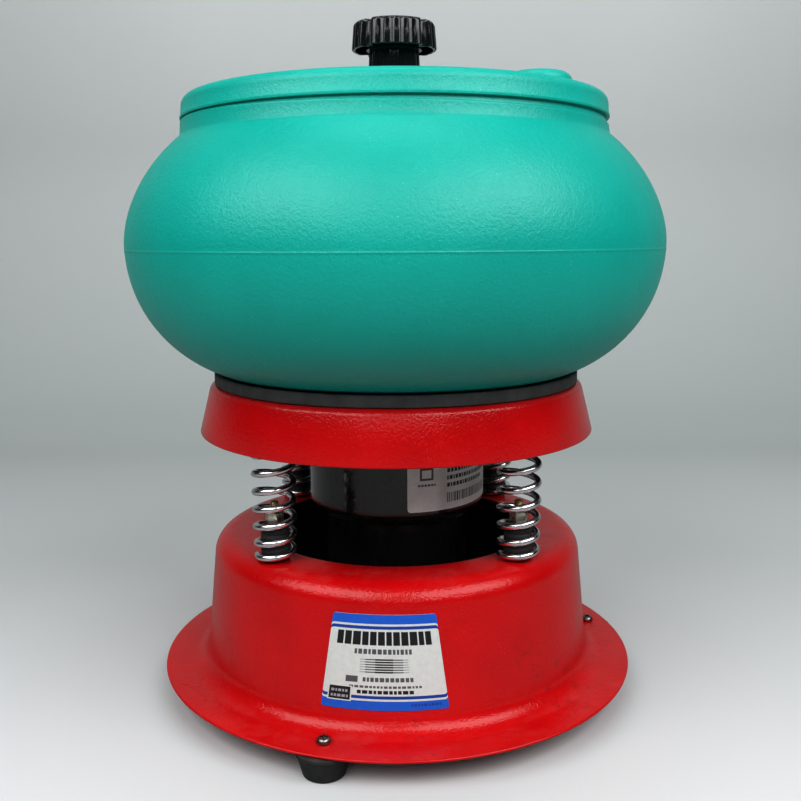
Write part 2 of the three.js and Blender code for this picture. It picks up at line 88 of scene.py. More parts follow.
def rounded(*corners, steps=5):
    """Points of a closed outline. A corner is (x, y) or (x, y, radius), and a radius rounds it."""
    points = []
    for i, corner in enumerate(corners):
        here = Vector(corner[:2])
        radius = corner[2] if len(corner) > 2 else 0
        if radius == 0:
            points.append(here)
            continue
        before = (Vector(corners[i - 1][:2]) - here).normalized()
        after = (Vector(corners[(i + 1) % len(corners)][:2]) - here).normalized()
        half = before.angle(after) / 2
        centre = here + (before + after).normalized() * (radius / math.sin(half))
        start = here + before * (radius / math.tan(half)) - centre
        turn = start.angle_signed(here + after * (radius / math.tan(half)) - centre)
        for k in range(steps + 1):
            points.append(centre + Matrix.Rotation(-turn * k / steps, 2) @ start)
    return points


def arc(x, y, radius, start_deg, end_deg, steps=6):
    turns = [math.radians(start_deg + (end_deg - start_deg) * k / steps) for k in range(steps + 1)]
    return [(x + radius * math.cos(a), y + radius * math.sin(a)) for a in turns]


def new_object(name, bm, sharp_deg=32):
    bmesh.ops.recalc_face_normals(bm, faces=bm.faces)
    mesh = bpy.data.meshes.new(name)
    bm.to_mesh(mesh)
    bm.free()
    mesh.shade_smooth()
    mesh.set_sharp_from_angle(angle=math.radians(sharp_deg))
    thing = bpy.data.objects.new(name, mesh)
    bpy.context.scene.collection.objects.link(thing)
    return thing


def loft(name, rings, closed=False, sharp_deg=32):
    """Skin over rings of points in mm, all of one count. Closed joins the last ring to the first;
    otherwise the first and last rings are capped."""
    bm = bmesh.new()
    rows = [[bm.verts.new(Vector(p) * MM) for p in ring] for ring in rings]
    pairs = list(zip(rows, rows[1:] + rows[:1])) if closed else list(zip(rows, rows[1:]))
    for lower, upper in pairs:
        for k in range(len(lower)):
            n = (k + 1) % len(lower)
            bm.faces.new((lower[k], lower[n], upper[n], upper[k]))
    if not closed:
        bm.faces.new(rows[0][::-1])
        bm.faces.new(rows[-1])
    return new_object(name, bm, sharp_deg)


def circle(radius, z, sides=48, centre=(0, 0)):
    """A ring of points. The radius may be a function of the angle."""
    ring = []
    for k in range(sides):
        angle = TAU * k / sides
        r = radius(angle) if callable(radius) else radius
        ring.append((centre[0] + r * math.cos(angle), centre[1] + r * math.sin(angle), z))
    return ring


def turned(name, profile, sides=96, centre=(0, 0), sharp_deg=32):
    """A turned piece whose closed profile of (radius, height) keeps off the axis."""
    rings = [circle(r, z, sides, centre) for r, z in profile]
    return loft(name, rings, closed=True, sharp_deg=sharp_deg)


def turned_solid(name, profile, sides=48, centre=(0, 0)):
    """A turned piece with capped ends; the profile runs from the bottom's rim to the top's."""
    return loft(name, [circle(r, z, sides, centre) for r, z in profile])


def drill(radius, bottom, top, sides=24, centre=(0, 0)):
    """The tool that cuts a round hole."""
    return turned_solid("tool", [(radius, bottom), (radius, top)], sides, centre)


def block(size, centre):
    bm = bmesh.new()
    bmesh.ops.create_cube(bm, size=1)
    bm.transform(Matrix.Translation(Vector(centre) * MM) @ Matrix.Diagonal((*[s * MM for s in size], 1)))
    return new_object("tool", bm)


def carve(thing, tools, operation="DIFFERENCE", sharp_deg=32):
    """Cuts the tools out of the thing, or joins them to it, and removes them."""
    for tool in tools:
        modifier = thing.modifiers.new("carve", "BOOLEAN")
        modifier.operation = operation
        modifier.solver = "EXACT"
        modifier.object = tool
    evaluated = thing.evaluated_get(bpy.context.evaluated_depsgraph_get())
    mesh = bpy.data.meshes.new_from_object(evaluated)
    thing.modifiers.clear()
    thing.data = mesh
    mesh.shade_smooth()
    mesh.set_sharp_from_angle(angle=math.radians(sharp_deg))
    for tool in tools:
        bpy.data.objects.remove(tool)
    return thing


def moved(thing, x=0, y=0, z=0, turn=None):
    """Moves the mesh itself, in mm, after an optional turn."""
    matrix = Matrix.Translation(Vector((x, y, z)) * MM)
    thing.data.transform(matrix @ turn if turn else matrix)
    return thing


def joined(name, things):
    """One object of several."""
    bm = bmesh.new()
    for thing in things:
        bm.from_mesh(thing.data)
        bpy.data.objects.remove(thing)
    return new_object(name, bm)


def dress(thing, body, finish, slot, *nodes):
    thing.data.materials.clear()
    thing.data.materials.append(finish)
    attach(thing, body)
    if nodes:
        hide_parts(*nodes)
    return thing


# ---- materials ----

class Finish:
    """A material being built: add() makes a node, and a socket given as a value is linked."""

    def __init__(self, name, **shader):
        self.material = bpy.data.materials.new(name)
        self.material.use_nodes = True
        self.tree = self.material.node_tree
        self.tree.nodes.clear()
        output = self.tree.nodes.new("ShaderNodeOutputMaterial")
        self.shader = self.add("ShaderNodeBsdfPrincipled", **shader)
        self.tree.links.new(self.shader.outputs[0], output.inputs[0])
        self.place = self.add("ShaderNodeTexCoord").outputs["Object"]

    def add(self, kind, **sockets):
        node = self.tree.nodes.new(kind)
        for key, value in sockets.items():
            self.plug(node.inputs[key.replace("_", " ")], value)
        return node

    def plug(self, socket, value):
        if isinstance(value, bpy.types.NodeSocket):
            self.tree.links.new(value, socket)
        elif socket.type == "RGBA" and len(value) == 3:
            socket.default_value = (*value, 1)
        else:
            socket.default_value = value

    def surface(self, colour, roughness, **more):
        """Links what varies over the surface, and gives the finished material."""
        for key, value in dict(Base_Color=colour, Roughness=roughness, **more).items():
            self.plug(self.shader.inputs[key.replace("_", " ")], value)
        return self.material

    def math(self, operation, a, b=0.0):
        node = self.tree.nodes.new("ShaderNodeMath")
        node.operation = operation
        self.plug(node.inputs[0], a)
        self.plug(node.inputs[1], b)
        return node.outputs[0]

    def times(self, a, b):
        return self.math("MULTIPLY", a, b)

    def noise(self, size, detail, roughness=0.5, place=None):
        """Noise whose features are about this many millimetres across."""
        node = self.add("ShaderNodeTexNoise", Vector=place or self.place, Scale=1 / (size * MM),
                        Detail=detail, Roughness=roughness)
        return node.outputs["Fac"]

    def specks(self, size, radius):
        """1 in small spots, 0 elsewhere."""
        node = self.add("ShaderNodeTexVoronoi", Vector=self.place, Scale=1 / (size * MM))
        return self.ramp(node.outputs["Distance"], radius * 0.6, radius, 1, 0)

    def ramp(self, value, start, end, low=0.0, high=1.0):
        """Value carried from start..end to low..high, clamped."""
        node = self.tree.nodes.new("ShaderNodeMapRange")
        for socket, number in zip(node.inputs, (value, start, end, low, high)):
            self.plug(socket, number)
        return node.outputs[0]

    def blend(self, share, a, b):
        node = self.tree.nodes.new("ShaderNodeMix")
        node.data_type = "RGBA"
        self.plug(node.inputs["Factor"], share)
        self.plug(node.inputs[6], a)
        self.plug(node.inputs[7], b)
        return node.outputs[2]

    def stretched(self, x, y, z):
        return self.add("ShaderNodeMapping", Vector=self.place, Scale=(x, y, z)).outputs[0]

    def split(self, socket=None):
        return self.add("ShaderNodeSeparateXYZ", Vector=socket or self.place).outputs

    def bump(self, height, depth, strength, after=None):
        """Bump this many millimetres deep."""
        node = self.add("ShaderNodeBump", Strength=strength, Distance=depth * MM, Height=height)
        if after:
            self.plug(node.inputs["Normal"], after)
        return node.outputs[0]

    def facing(self):
        """X, Y and Z of the direction that the surface faces."""
        return self.split(self.add("ShaderNodeNewGeometry").outputs["Normal"])


def shade(colour, factor):
    return tuple(min(1.0, c * factor) for c in colour)


def painted_shade_inside_pressing(f):
    """1 where a pressing's surface looks towards the axis, or down from its ceiling: where the red paint
    gets its painted shade.
    """
    spot = f.split()
    facing = f.facing()
    across = f.math("ADD", f.times(spot[0], facing[0]), f.times(spot[1], facing[1]))
    reach = f.math("SQRT", f.math("ADD", f.math("POWER", spot[0], 2), f.math("POWER", spot[1], 2)))
    inward = f.ramp(f.math("DIVIDE", across, reach), -0.05, -0.25)
    ceiling = f.times(f.ramp(facing[2], -0.55, -0.8), f.ramp(reach, 0.112, 0.108))
    return f.math("MAXIMUM", inward, ceiling)


RED = (0.525, 0.0026, 0.0048)
TEAL = (0.0022, 0.400, 0.336)


def red_paint():
    """Gloss enamel: orange peel, faint cloudiness, fine specks, dust on flat places and dark rubbed
    smudges. The inside of a pressing is painted a dull near black without coat, as painted shade."""
    f = Finish("red_paint", Roughness=0.3, Specular_IOR_Level=0.16, Coat_Roughness=0.075)
    cloud = f.noise(38, 3)
    colour = f.blend(f.ramp(cloud, 0.35, 0.65), shade(RED, 0.93), shade(RED, 1.06))
    fleck = f.times(f.specks(1.5, 0.22), f.ramp(f.noise(6, 2), 0.5, 0.62))
    colour = f.blend(f.times(fleck, 0.35), colour, (0.80, 0.08, 0.07))
    dust = f.times(f.ramp(f.facing()[2], 0.75, 1.0), f.ramp(f.noise(14, 5, 0.65), 0.5, 0.72))
    colour = f.blend(f.times(dust, 0.06), colour, (0.55, 0.42, 0.38))
    rubbed = f.ramp(f.noise(5, 4, 0.7), 0.52, 0.68)
    smudge = f.times(f.ramp(f.noise(70, 2), 0.56, 0.66), rubbed)
    colour = f.blend(f.times(smudge, 0.32), colour, (0.055, 0.010, 0.010))
    rough = f.math("ADD", f.ramp(cloud, 0.3, 0.7, 0.27, 0.36), f.times(dust, 0.2))
    # painted shade: inside each pressing the paint is made near black, matt and without coat
    inside = painted_shade_inside_pressing(f)
    colour = f.blend(inside, colour, f.blend(cloud, (0.012, 0.009, 0.009), (0.022, 0.015, 0.014)))
    rough = f.math("MAXIMUM", rough, f.times(inside, 0.75))
    peel = f.bump(f.noise(1.4, 2), 0.24, 0.95)
    fine = f.bump(f.noise(0.9, 2), 0.07, 0.8, after=peel)
    coat = f.times(f.math("SUBTRACT", 1.0, inside), 0.5)
    return f.surface(colour, rough, Normal=fine, Coat_Normal=fine, Coat_Weight=coat)


def tub_plastic(name, tint=TEAL):
    """Rotation-moulded polyethylene: fine pebbled grain, soft sheen, slight cloudiness."""
    f = Finish(name, IOR=1.5, Specular_IOR_Level=0.42)
    cloud = f.noise(55, 4, 0.55)
    colour = f.blend(f.ramp(cloud, 0.33, 0.67), shade(tint, 0.95), shade(tint, 1.05))
    pebble = f.noise(1.15, 3, 0.6)
    colour = f.blend(f.ramp(pebble, 0.40, 0.62, 0.0, 0.16), colour, shade(tint, 1.25))
    fleck = f.times(f.specks(2.6, 0.16), f.ramp(f.noise(9, 1), 0.55, 0.7, 0, 0.35))
    colour = f.blend(fleck, colour, (0.25, 0.72, 0.64))
    rough = f.ramp(f.noise(3.0, 3), 0.3, 0.7, 0.34, 0.43)
    coarse = f.bump(f.noise(2.3, 2), 0.20, 0.8)
    return f.surface(colour, rough, Normal=f.bump(pebble, 0.16, 1.0, after=coarse))


def enamel_black():
    """Gloss black enamel on the motor, with handling marks."""
    f = Finish("black_enamel", Coat_Weight=0.5, Coat_Roughness=0.08)
    cloud = f.noise(30, 4)
    smear = f.noise(9, 5, 0.65, f.stretched(1, 1, 0.25))
    colour = f.blend(f.ramp(cloud, 0.35, 0.65), (0.0060, 0.0055, 0.0060), (0.0120, 0.0105, 0.0110))
    rough = f.ramp(smear, 0.35, 0.68, 0.16, 0.34)
    return f.surface(colour, rough, Normal=f.bump(f.noise(2.4, 2), 0.08, 0.4))


def moulded_black():
    """Glossy black plastic with faint flow marks and worn edges."""
    f = Finish("moulded_black", Coat_Weight=0.25, Coat_Roughness=0.1)
    flow = f.noise(5, 4, 0.6, f.stretched(1, 1, 0.3))
    colour = f.blend(f.ramp(flow, 0.35, 0.65), (0.0065, 0.0085, 0.0095), (0.0130, 0.0165, 0.0180))
    rough = f.ramp(f.noise(2.2, 3), 0.3, 0.7, 0.14, 0.24)
    return f.surface(colour, rough, Normal=f.bump(f.noise(0.8, 3), 0.020, 0.6))


def rubber(name, colour=(0.022, 0.022, 0.022), dusty=0.3):
    """Matt rubber: fine grain, a grey bloom and dust where it faces up."""
    f = Finish(name)
    bloom = f.ramp(f.noise(11, 5, 0.65), 0.4, 0.7)
    top = f.ramp(f.facing()[2], 0.2, 1.0)
    shown = f.blend(f.times(bloom, 0.5), colour, shade(colour, 2.2))
    shown = f.blend(f.times(f.times(bloom, top), dusty), shown, (0.16, 0.16, 0.155))
    rough = f.ramp(f.noise(4, 3), 0.3, 0.7, 0.62, 0.82)
    return f.surface(shown, rough, Normal=f.bump(f.noise(0.7, 3, 0.65), 0.035, 0.7))


def bright_wire():
    """Plated spring wire: clean and bright, with faint drawing lines and a little tarnish."""
    f = Finish("bright_wire", Metallic=1.0)
    tarnish = f.ramp(f.noise(7, 5, 0.6), 0.42, 0.75)
    colour = f.blend(f.times(tarnish, 0.3), (0.76, 0.75, 0.77), (0.42, 0.41, 0.41))
    rough = f.ramp(f.noise(1.6, 2), 0.3, 0.7, 0.17, 0.25)
    return f.surface(colour, rough, Normal=f.bump(f.noise(1.1, 1), 0.006, 0.4))


def zinc(name="zinc_plate", tint=(0.62, 0.59, 0.50)):
    """Zinc plating: cloudy, a little yellow, dull in patches."""
    f = Finish(name, Metallic=1.0)
    patch = f.ramp(f.noise(3.2, 5, 0.65), 0.35, 0.68)
    colour = f.blend(patch, tint, shade(tint, 0.62))
    rough = f.ramp(patch, 0, 1, 0.24, 0.45)
    return f.surface(colour, rough, Normal=f.bump(f.noise(0.45, 3), 0.012, 0.6))


def turned_metal(name, line_size, length, patch, bright, dull, rough):
    """Metal with fine turning lines round it and cloudy patches."""
    f = Finish(name, Metallic=1.0)
    lines = f.noise(line_size, 3, 0.5, f.stretched(1, 1, length))
    colour = f.blend(f.ramp(f.noise(*patch), 0.35, 0.7), bright, dull)
    return f.surface(colour, f.ramp(lines, 0.3, 0.7, *rough), Normal=f.bump(lines, 0.01, 0.4))


def cast_iron():
    f = Finish("cast_iron", Metallic=0.85)
    sand = f.noise(1.0, 5, 0.7)
    rust = f.ramp(f.noise(8, 5, 0.7), 0.55, 0.75, 0, 0.5)
    colour = f.blend(rust, f.blend(sand, (0.07, 0.07, 0.075), (0.16, 0.16, 0.165)), (0.16, 0.07, 0.035))
    rough = f.ramp(sand, 0.3, 0.7, 0.5, 0.75)
    return f.surface(colour, rough, Normal=f.bump(sand, 0.18, 0.8))


def laminations():
    """Stacked sheets half a millimetre thick."""
    f = Finish("laminations", Metallic=0.9)
    height = f.split()[2]
    layer = f.math("PINGPONG", height, 0.25 * MM)
    groove = f.ramp(layer, 0.0, 0.06 * MM)
    stain = f.ramp(f.noise(12, 4), 0.4, 0.7)
    colour = f.blend(groove, (0.06, 0.06, 0.065), f.blend(stain, (0.36, 0.36, 0.37), (0.22, 0.20, 0.19)))
    rough = f.ramp(stain, 0, 1, 0.36, 0.55)
    return f.surface(colour, rough, Normal=f.bump(groove, 0.08, 0.8))


def copper():
    f = Finish("enamelled_copper", Metallic=1.0)
    strand = f.noise(0.9, 2, 0.5, f.stretched(1, 1, 0.15))
    colour = f.blend(f.ramp(strand, 0.35, 0.65), (0.55, 0.17, 0.06), (0.30, 0.08, 0.03))
    rough = f.ramp(strand, 0.3, 0.7, 0.25, 0.45)
    return f.surface(colour, rough, Normal=f.bump(strand, 0.2, 0.8))


def print_ink(name, colour, roughness=0.34, metallic=0.0):
    """A printed film: nearly flat colour with faint mottle and fingerprints in its gloss."""
    f = Finish(name, Metallic=metallic)
    mottle = f.ramp(f.noise(2.6, 4), 0.35, 0.65)
    smudge = f.ramp(f.noise(10, 5, 0.6), 0.4, 0.7)
    shown = f.blend(mottle, shade(colour, 0.96), shade(colour, 1.03))
    rough = f.ramp(smudge, 0, 1, roughness * 0.85, roughness * 1.3)
    return f.surface(shown, rough, Normal=f.bump(f.noise(1.4, 2), 0.012, 0.5))


def pale_ground():
    """The floor and the sweep behind it: plain and pale, with painted shade that makes it a little
    darker towards the foot of the wall and out to the sides. Light that bounces off it meets a darker
    grey than the camera does, which keeps the undersides of the object dark. Only the stage has this."""
    f = Finish("pale_ground")
    across = f.split()
    # painted shade: as the camera sees them, the floor and wall darken towards the back and the foot of
    # the wall
    behind = f.ramp(across[1], -0.45, 0.75)
    near_foot_of_wall = f.ramp(across[2], 0.0, 1.1, 1.0, 0.25)
    cloud = f.ramp(f.noise(260, 2), 0.3, 0.7, 0.55, 0.65)
    darker = f.times(behind, near_foot_of_wall)
    seen = f.blend(darker, (0.75, 0.755, 0.77), (0.40, 0.44, 0.435))
    # painted shade: the seen colour darkens out to the sides
    aside = f.math("ABSOLUTE", f.math("SUBTRACT", across[0], 0.06))
    seen = f.blend(f.ramp(aside, 0.33, 0.95, 0, 0.7), seen, (0.37, 0.39, 0.39))
    direct = f.add("ShaderNodeLightPath").outputs["Is Camera Ray"]
    return f.surface(f.blend(direct, (0.30, 0.31, 0.31), seen), cloud)


red = red_paint()
teal = tub_plastic("teal_plastic")
# painted light: the lid's plastic is the bowl's teal made 4% lighter, standing for stronger light on the
# lid
lid_teal_painted_light = tub_plastic("lid_plastic_painted_light", shade(TEAL, 1.04))
black_enamel = enamel_black()
black_moulding = moulded_black()
dark_rubber = rubber("dark_rubber")
gasket_rubber = rubber("gasket_rubber", (0.046, 0.047, 0.047), 0.2)
wire = bright_wire()
plating = zinc()
dull_plating = zinc("dull_plate", (0.30, 0.28, 0.26))
yellow_plating = zinc("yellow_plate", (0.60, 0.49, 0.27))
steel = turned_metal("ground_steel", 1.2, 14, (6, 3),
                     (0.60, 0.61, 0.62), (0.44, 0.44, 0.45), (0.18, 0.34))
iron = cast_iron()
stack = laminations()
windings = copper()
brass_turned = turned_metal("brass", 0.8, 10, (3, 4),
                            (0.62, 0.44, 0.14), (0.40, 0.27, 0.09), (0.2, 0.38))


# ---- fasteners ----

def hexagon(across_flats, angle):
    """Radius of a hexagon at an angle."""
    side = math.remainder(angle, TAU / 6)
    return across_flats / 2 / math.cos(side)


def hex_nut(name, across_flats, bottom, height, bore, centre=(0, 0), turn=0.0):
    """A nut whose corners are chamfered top and bottom and whose bore is countersunk."""
    corner = across_flats / math.sqrt(3)
    bevel = (corner - across_flats / 2) * 0.62

    def ring(z, limit):
        return circle(lambda a: min(hexagon(across_flats, a + turn), limit), z, 96, centre)

    top = bottom + height
    rings = [
        circle(bore, bottom + 0.6, 96, centre),
        circle(bore + 0.5, bottom, 96, centre),
        ring(bottom, across_flats / 2 - 0.1),
        ring(bottom + bevel * 0.55, corner - bevel * 0.35),
        ring(bottom + bevel, corner),
        ring(top - bevel, corner),
        ring(top - bevel * 0.55, corner - bevel * 0.35),
        ring(top, across_flats / 2 - 0.1),
        circle(bore + 0.5, top, 96, centre),
        circle(bore, top - 0.6, 96, centre),
    ]
    return loft(name, rings, closed=True, sharp_deg=25)


def threaded_rod(name, radius, pitch, bottom, top, centre=(0, 0), plain_to=None, sides=30):
    """A rod with a right-handed thread above plain_to, chamfered at its tip."""
    depth = pitch * 0.5
    step = pitch / 6
    start = bottom if plain_to is None else plain_to
    count = max(2, round((top - start) / step))
    rings = [circle(radius, bottom, sides, centre)] if plain_to is not None else []
    for k in range(count + 1):
        z = start + (top - start) * k / count
        fade = min(1.0, (z - start) / pitch if plain_to is not None else 1.0)
        taper = max(0.0, z - (top - pitch)) / pitch * depth * 1.3

        def profile(angle):
            turn = (z / pitch - angle / TAU) % 1.0
            valley = max(0.0, 1 - abs(turn - 0.5) / 0.42)
            return radius - depth * valley * fade * 0.9 - taper

        rings.append(circle(profile, z, sides, centre))
    return loft(name, rings, sharp_deg=60)


def cross_recess(radius, top, depth, centre=(0, 0)):
    """The tool that cuts a cross recess into a screw's head."""
    x, y = centre
    width = radius * 0.34
    size = radius * 1.15
    arms = [
        block((size, width, depth * 2), (x, y, top)),
        block((width, size, depth * 2), (x, y, top)),
    ]
    return carve(arms[0], arms[1:], "UNION")


def pan_head(name, shank, head, height, seat, centre=(0, 0), down=False, turn=0.3):
    """A pan-head screw's head and the plain start of its shank."""
    profile = [
        (shank, -1.5), (shank, 0), (head - 0.25, 0), (head, 0.25), (head, height * 0.42),
        *arc(head * 0.35, height * 0.42, head * 0.65, 0, 62, 5)[1:],
    ]
    scale = height / profile[-1][1]
    profile = [(r, z * scale if z > height * 0.42 else z) for r, z in profile]
    profile.append((head * 0.3, height * 1.03))
    screw = turned_solid(name, profile, 40)
    carve(screw, [cross_recess(head, height * 1.03, height * 0.55)])
    spin = Matrix.Rotation(turn, 4, "Z")
    if down:
        spin = Matrix.Rotation(math.pi, 4, "X") @ spin
    return moved(screw, *centre, seat, turn=spin)


# ---- driving shapes, in millimetres ----

SHEET = 1.8
GAP = 0.3  # between pieces
M4, M5, M6 = (1.95, 0.7), (2.45, 0.8), (2.95, 1.0)  # radius and pitch of the threads
FLANGE_R = high("base_housing").x
BASE_TOP = high("base_housing").z
FLANGE_UNDER = low("base_housing").z
FLANGE_TOP = FLANGE_UNDER + SHEET
FLANGE_BEND_R = 11
BASE_BEND = Vector((126.3, FLANGE_TOP + FLANGE_BEND_R))
BASE_DRAFT = math.radians(5.3)
BASE_SHOULDER_R = 12
BASE_SHOULDER = Vector((98, BASE_TOP - BASE_SHOULDER_R))
BASE_HOLE_R = 79

PAN_TOP = low("gasket_disc").z - GAP
PAN_BOTTOM = PAN_TOP - 28.1
PAN_BOTTOM_R = high("top_pan").x
PAN_EDGE_R = 4
PAN_EDGE = Vector((PAN_BOTTOM_R - 10, PAN_TOP - PAN_EDGE_R))

BOWL_R = high("bowl").x
EQUATOR_Z = low("bowl").z + 77.3
UPPER_FLANK = (71.3, 74.2, 2 / 1.76)
LOWER_FLANK = (79.3, 77.3, 2 / 2.06)
WALL = 4
NECK_R = 120.3
NECK_TOP = high("bowl").z - 7.9
NECK_TILT = 1.6
LIP_R = 116.8
LIP_TOP = high("bowl").z

LID_R = high("lid").x
LID_BOTTOM = NECK_TOP + 2
LID_TOP = LID_BOTTOM + 12.5

SPRING_SPOTS = [middle(node).to_2d() for node in numbered("spring", 4)]
FOOT_SPOTS = [middle(node).to_2d() for node in numbered("foot", 3)]


def base_side(z):
    """Radius of the base's outer side at a height."""
    foot_r = BASE_BEND.x - FLANGE_BEND_R / math.cos(BASE_DRAFT)
    return foot_r - (z - BASE_BEND.y) * math.tan(BASE_DRAFT)


GLAND_Z = 45
GLAND = (0, base_side(GLAND_Z), GLAND_Z)
GLAND_TURN = Matrix.Rotation(math.radians(-90) + BASE_DRAFT, 4, "X")


# ---- base ----

def base_housing():
    """A drawn sheet steel shell with a rolled edge to its flange and a turned-down hole."""
    draft = math.degrees(BASE_DRAFT)
    lip = SHEET / 2
    over = [
        *arc(FLANGE_R - lip, FLANGE_TOP - lip, lip, -90, 90, 6),
        *arc(*BASE_BEND, FLANGE_BEND_R, 270, 180 + draft, 14),
        *arc(*BASE_SHOULDER, BASE_SHOULDER_R, draft, 90, 14),
        *arc(BASE_HOLE_R + 1.2, BASE_TOP - 1.2, 1.2, 90, 180, 4),
    ]
    under = [
        (BASE_HOLE_R, BASE_TOP - SHEET - 0.8),
        (BASE_HOLE_R + 1.2, BASE_TOP - SHEET),
        *arc(*BASE_SHOULDER, BASE_SHOULDER_R - SHEET, 90, draft, 12),
        *arc(*BASE_BEND, FLANGE_BEND_R + SHEET, 180 + draft, 270, 12),
    ]
    shell = turned("base_housing", over + under, 240, sharp_deg=40)
    holes = [drill(2.3, 0, 40, centre=spot) for spot in FOOT_SPOTS]
    holes += [drill(2.8, BASE_TOP - 9, BASE_TOP + 9, centre=spot) for spot in SPRING_SPOTS]
    holes.append(moved(drill(7.3, -12, 12, 40), *GLAND, turn=GLAND_TURN))
    carve(shell, holes, sharp_deg=40)
    dress(shell, "base", red, "red_paint", "base_housing")


def cord_gland():
    """A split strain-relief bush pressed into the base's rear."""
    gland = turned("cord_gland", rounded(
        (4.4, -8, 0.4), (6.2, -8, 0.4), (7, -1.6, 0.3), (6.5, -1.0), (6.5, 0.3), (9.5, 0.3, 0.3),
        (9.5, 2.6, 0.9), (6.7, 3.6, 0.8), (5.8, 12, 0.6), (4.4, 12, 0.4),
    ), 64)
    slots = [block((20, 0.8, 1.6), (0, 0, z)) for z in (5.2, 9.6)]
    slots.append(block((0.8, 20, 1.6), (0, 0, 7.4)))
    carve(gland, slots)
    moved(gland, *GLAND, turn=GLAND_TURN)
    dress(gland, "base", black_moulding, "black_plastic", "cord_gland")


def foot(node, spot):
    """A tapered rubber bumper with a bead round its top and a hollow for the nut."""
    x, y = spot
    top = high(node).z
    bumper = turned(node + "_rubber", rounded(
        (7, 0, 0.4), (10.8, 0, 1.4), (13.9, top - 2.8, 2), (14.8, top - 2.0, 0.5), (14.8, top, 0.5),
        (2.3, top), (2.3, 7), (7, 7, 0.8),
    ), 72, spot)
    dress(bumper, "base", dark_rubber, "dark_rubber", node)

    number = node[-1]
    seat = FLANGE_TOP + GAP
    head = pan_head(f"foot_screw_{number}_head", 2, 3.7, 2.8, seat, spot, turn=0.5 + float(number))
    shank = threaded_rod("shank", *M4, seat - 14.6, seat - 1.4, spot)
    screw = joined(f"foot_screw_{number}_fine", [head, moved_about(shank, x, y)])
    dress(screw, "base", dull_plating, "zinc_steel", f"foot_screw_{number}")
    nut = hex_nut(f"foot_nut_{number}_fine", 7, 3.5, 3.2, 2.2, spot, turn=float(number))
    dress(nut, "base", plating, "zinc_steel", f"foot_nut_{number}")


def moved_about(thing, x, y):
    """Turns a vertical piece standing at x, y upside down about its own middle."""
    box = [Vector(v.co) / MM for v in thing.data.vertices]
    middle_z = (min(p.z for p in box) + max(p.z for p in box)) / 2
    about = Matrix.Translation(Vector((x, y, middle_z)) * MM)
    thing.data.transform(about @ Matrix.Rotation(math.pi, 4, "X") @ about.inverted())
    return thing


# ---- springs and their seats ----

def spring(node, spot):
    """Round wire wound right-handed. Its end turns are closer, and lie on the sheets."""
    wire_r, end_r, full_r = 1.85, 9.9, 10.35
    bottom, top = span(node)
    turns = 9.2
    end_pitch, full_pitch, later_growth = 5.6, 9.0, 0.26

    def rise(turn):
        """Height gained per turn, after so many turns."""
        near_end = min(turn, turns - turn)
        ease = min(1.0, near_end / 1.1)
        opening = ease * ease * (3 - 2 * ease)
        return end_pitch + (full_pitch - end_pitch) * opening + later_growth * near_end

    steps = 30
    count = round(turns * steps)
    heights = [0.0]
    for k in range(count):
        heights.append(heights[-1] + rise((k + 0.5) / steps) / steps)
    stretch = (top - bottom - 2 * wire_r) / heights[-1]
    path = []
    for k, height in enumerate(heights):
        angle = math.pi + TAU * k / steps
        near_end = min(k, count - k) / steps
        coil_r = end_r + (full_r - end_r) * min(1.0, near_end / 2.5)
        path.append(Vector((spot.x + coil_r * math.cos(angle), spot.y + coil_r * math.sin(angle),
                            bottom + wire_r + height * stretch)))
    coil = tube(node + "_coil", path, wire_r, 16)
    coil.data.materials.append(wire)
    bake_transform(coil)
    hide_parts(node)


def tube(name, path, radius, sides):
    """A round wire along a path, its ends capped flat."""
    rings = []
    for k, point in enumerate(path):
        ahead = path[min(k + 1, len(path) - 1)] - path[max(k - 1, 0)]
        ahead.normalize()
        side = ahead.cross(Vector((0, 0, 1))).normalized()
        up = side.cross(ahead)
        ring = [point + (side * math.cos(TAU * i / sides) + up * math.sin(TAU * i / sides)) * radius
                for i in range(sides)]
        rings.append(ring)
    return loft(name, rings, sharp_deg=50)


def spring_post(name, node, spot, upright):
    """A ribbed rubber plug that keeps the end of a spring in its place."""
    bottom, top = span(node)
    wide, narrow = 7.95, 7.6
    low_r, high_r = (wide, narrow) if upright else (narrow, wide)
    profile = [(2.8, bottom), (low_r - 0.5, bottom)]
    ribs = 5
    for k in range(ribs):
        z0, z1 = (bottom + 0.5 + (top - bottom - 1.0) * edge / ribs for edge in (k, k + 1))
        r0, r1 = (low_r + (high_r - low_r) * edge / ribs for edge in (k, k + 1))
        groove_r = r1 - 0.45
        profile += [(r0, z0), (r0, z0 + (z1 - z0) * 0.72),
                    (groove_r, z0 + (z1 - z0) * 0.84), (groove_r, z1 - 0.3)]
    profile += [(high_r - 0.5, top), (2.8, top)]
    post = turned(name, profile, 48, spot, sharp_deg=60)
    dress(post, "base" if upright else "pan", dark_rubber, "dark_rubber", node)


def spring_seats():
    for i, spot in enumerate(SPRING_SPOTS, 1):
        spring(f"spring_{i}", spot)
        spring_post(f"lower_post_{i}", f"lower_spring_post_{i}", spot, True)
        spring_post(f"upper_post_{i}", f"upper_spring_post_{i}", spot, False)
        node = f"lower_spring_screw_{i}"
        seat = BASE_TOP - SHEET - GAP
        head = pan_head("head", 2.5, 4.5, 3.4, seat, spot, down=True, turn=1.1 * i)
        shank = threaded_rod("shank", *M5, seat + 1.4, high(node).z, spot)
        dress(joined(f"lower_screw_{i}", [head, shank]), "base", yellow_plating, "zinc_steel", node)
        for place, body in (("lower", "base"), ("upper", "pan")):
            node = f"{place}_spring_nut_{i}"
            height = high(node).z - low(node).z
            nut = hex_nut(f"{place}_nut_{i}", 9, low(node).z, height, 2.7, spot, turn=0.7 * i)
            dress(nut, body, plating, "zinc_steel", node)


# ---- pan, gasket and centre stud ----

PAN_FLARE_DEG = 13.5
STUD_R = 3.95
STUD_BORE_R = STUD_R + 0.35


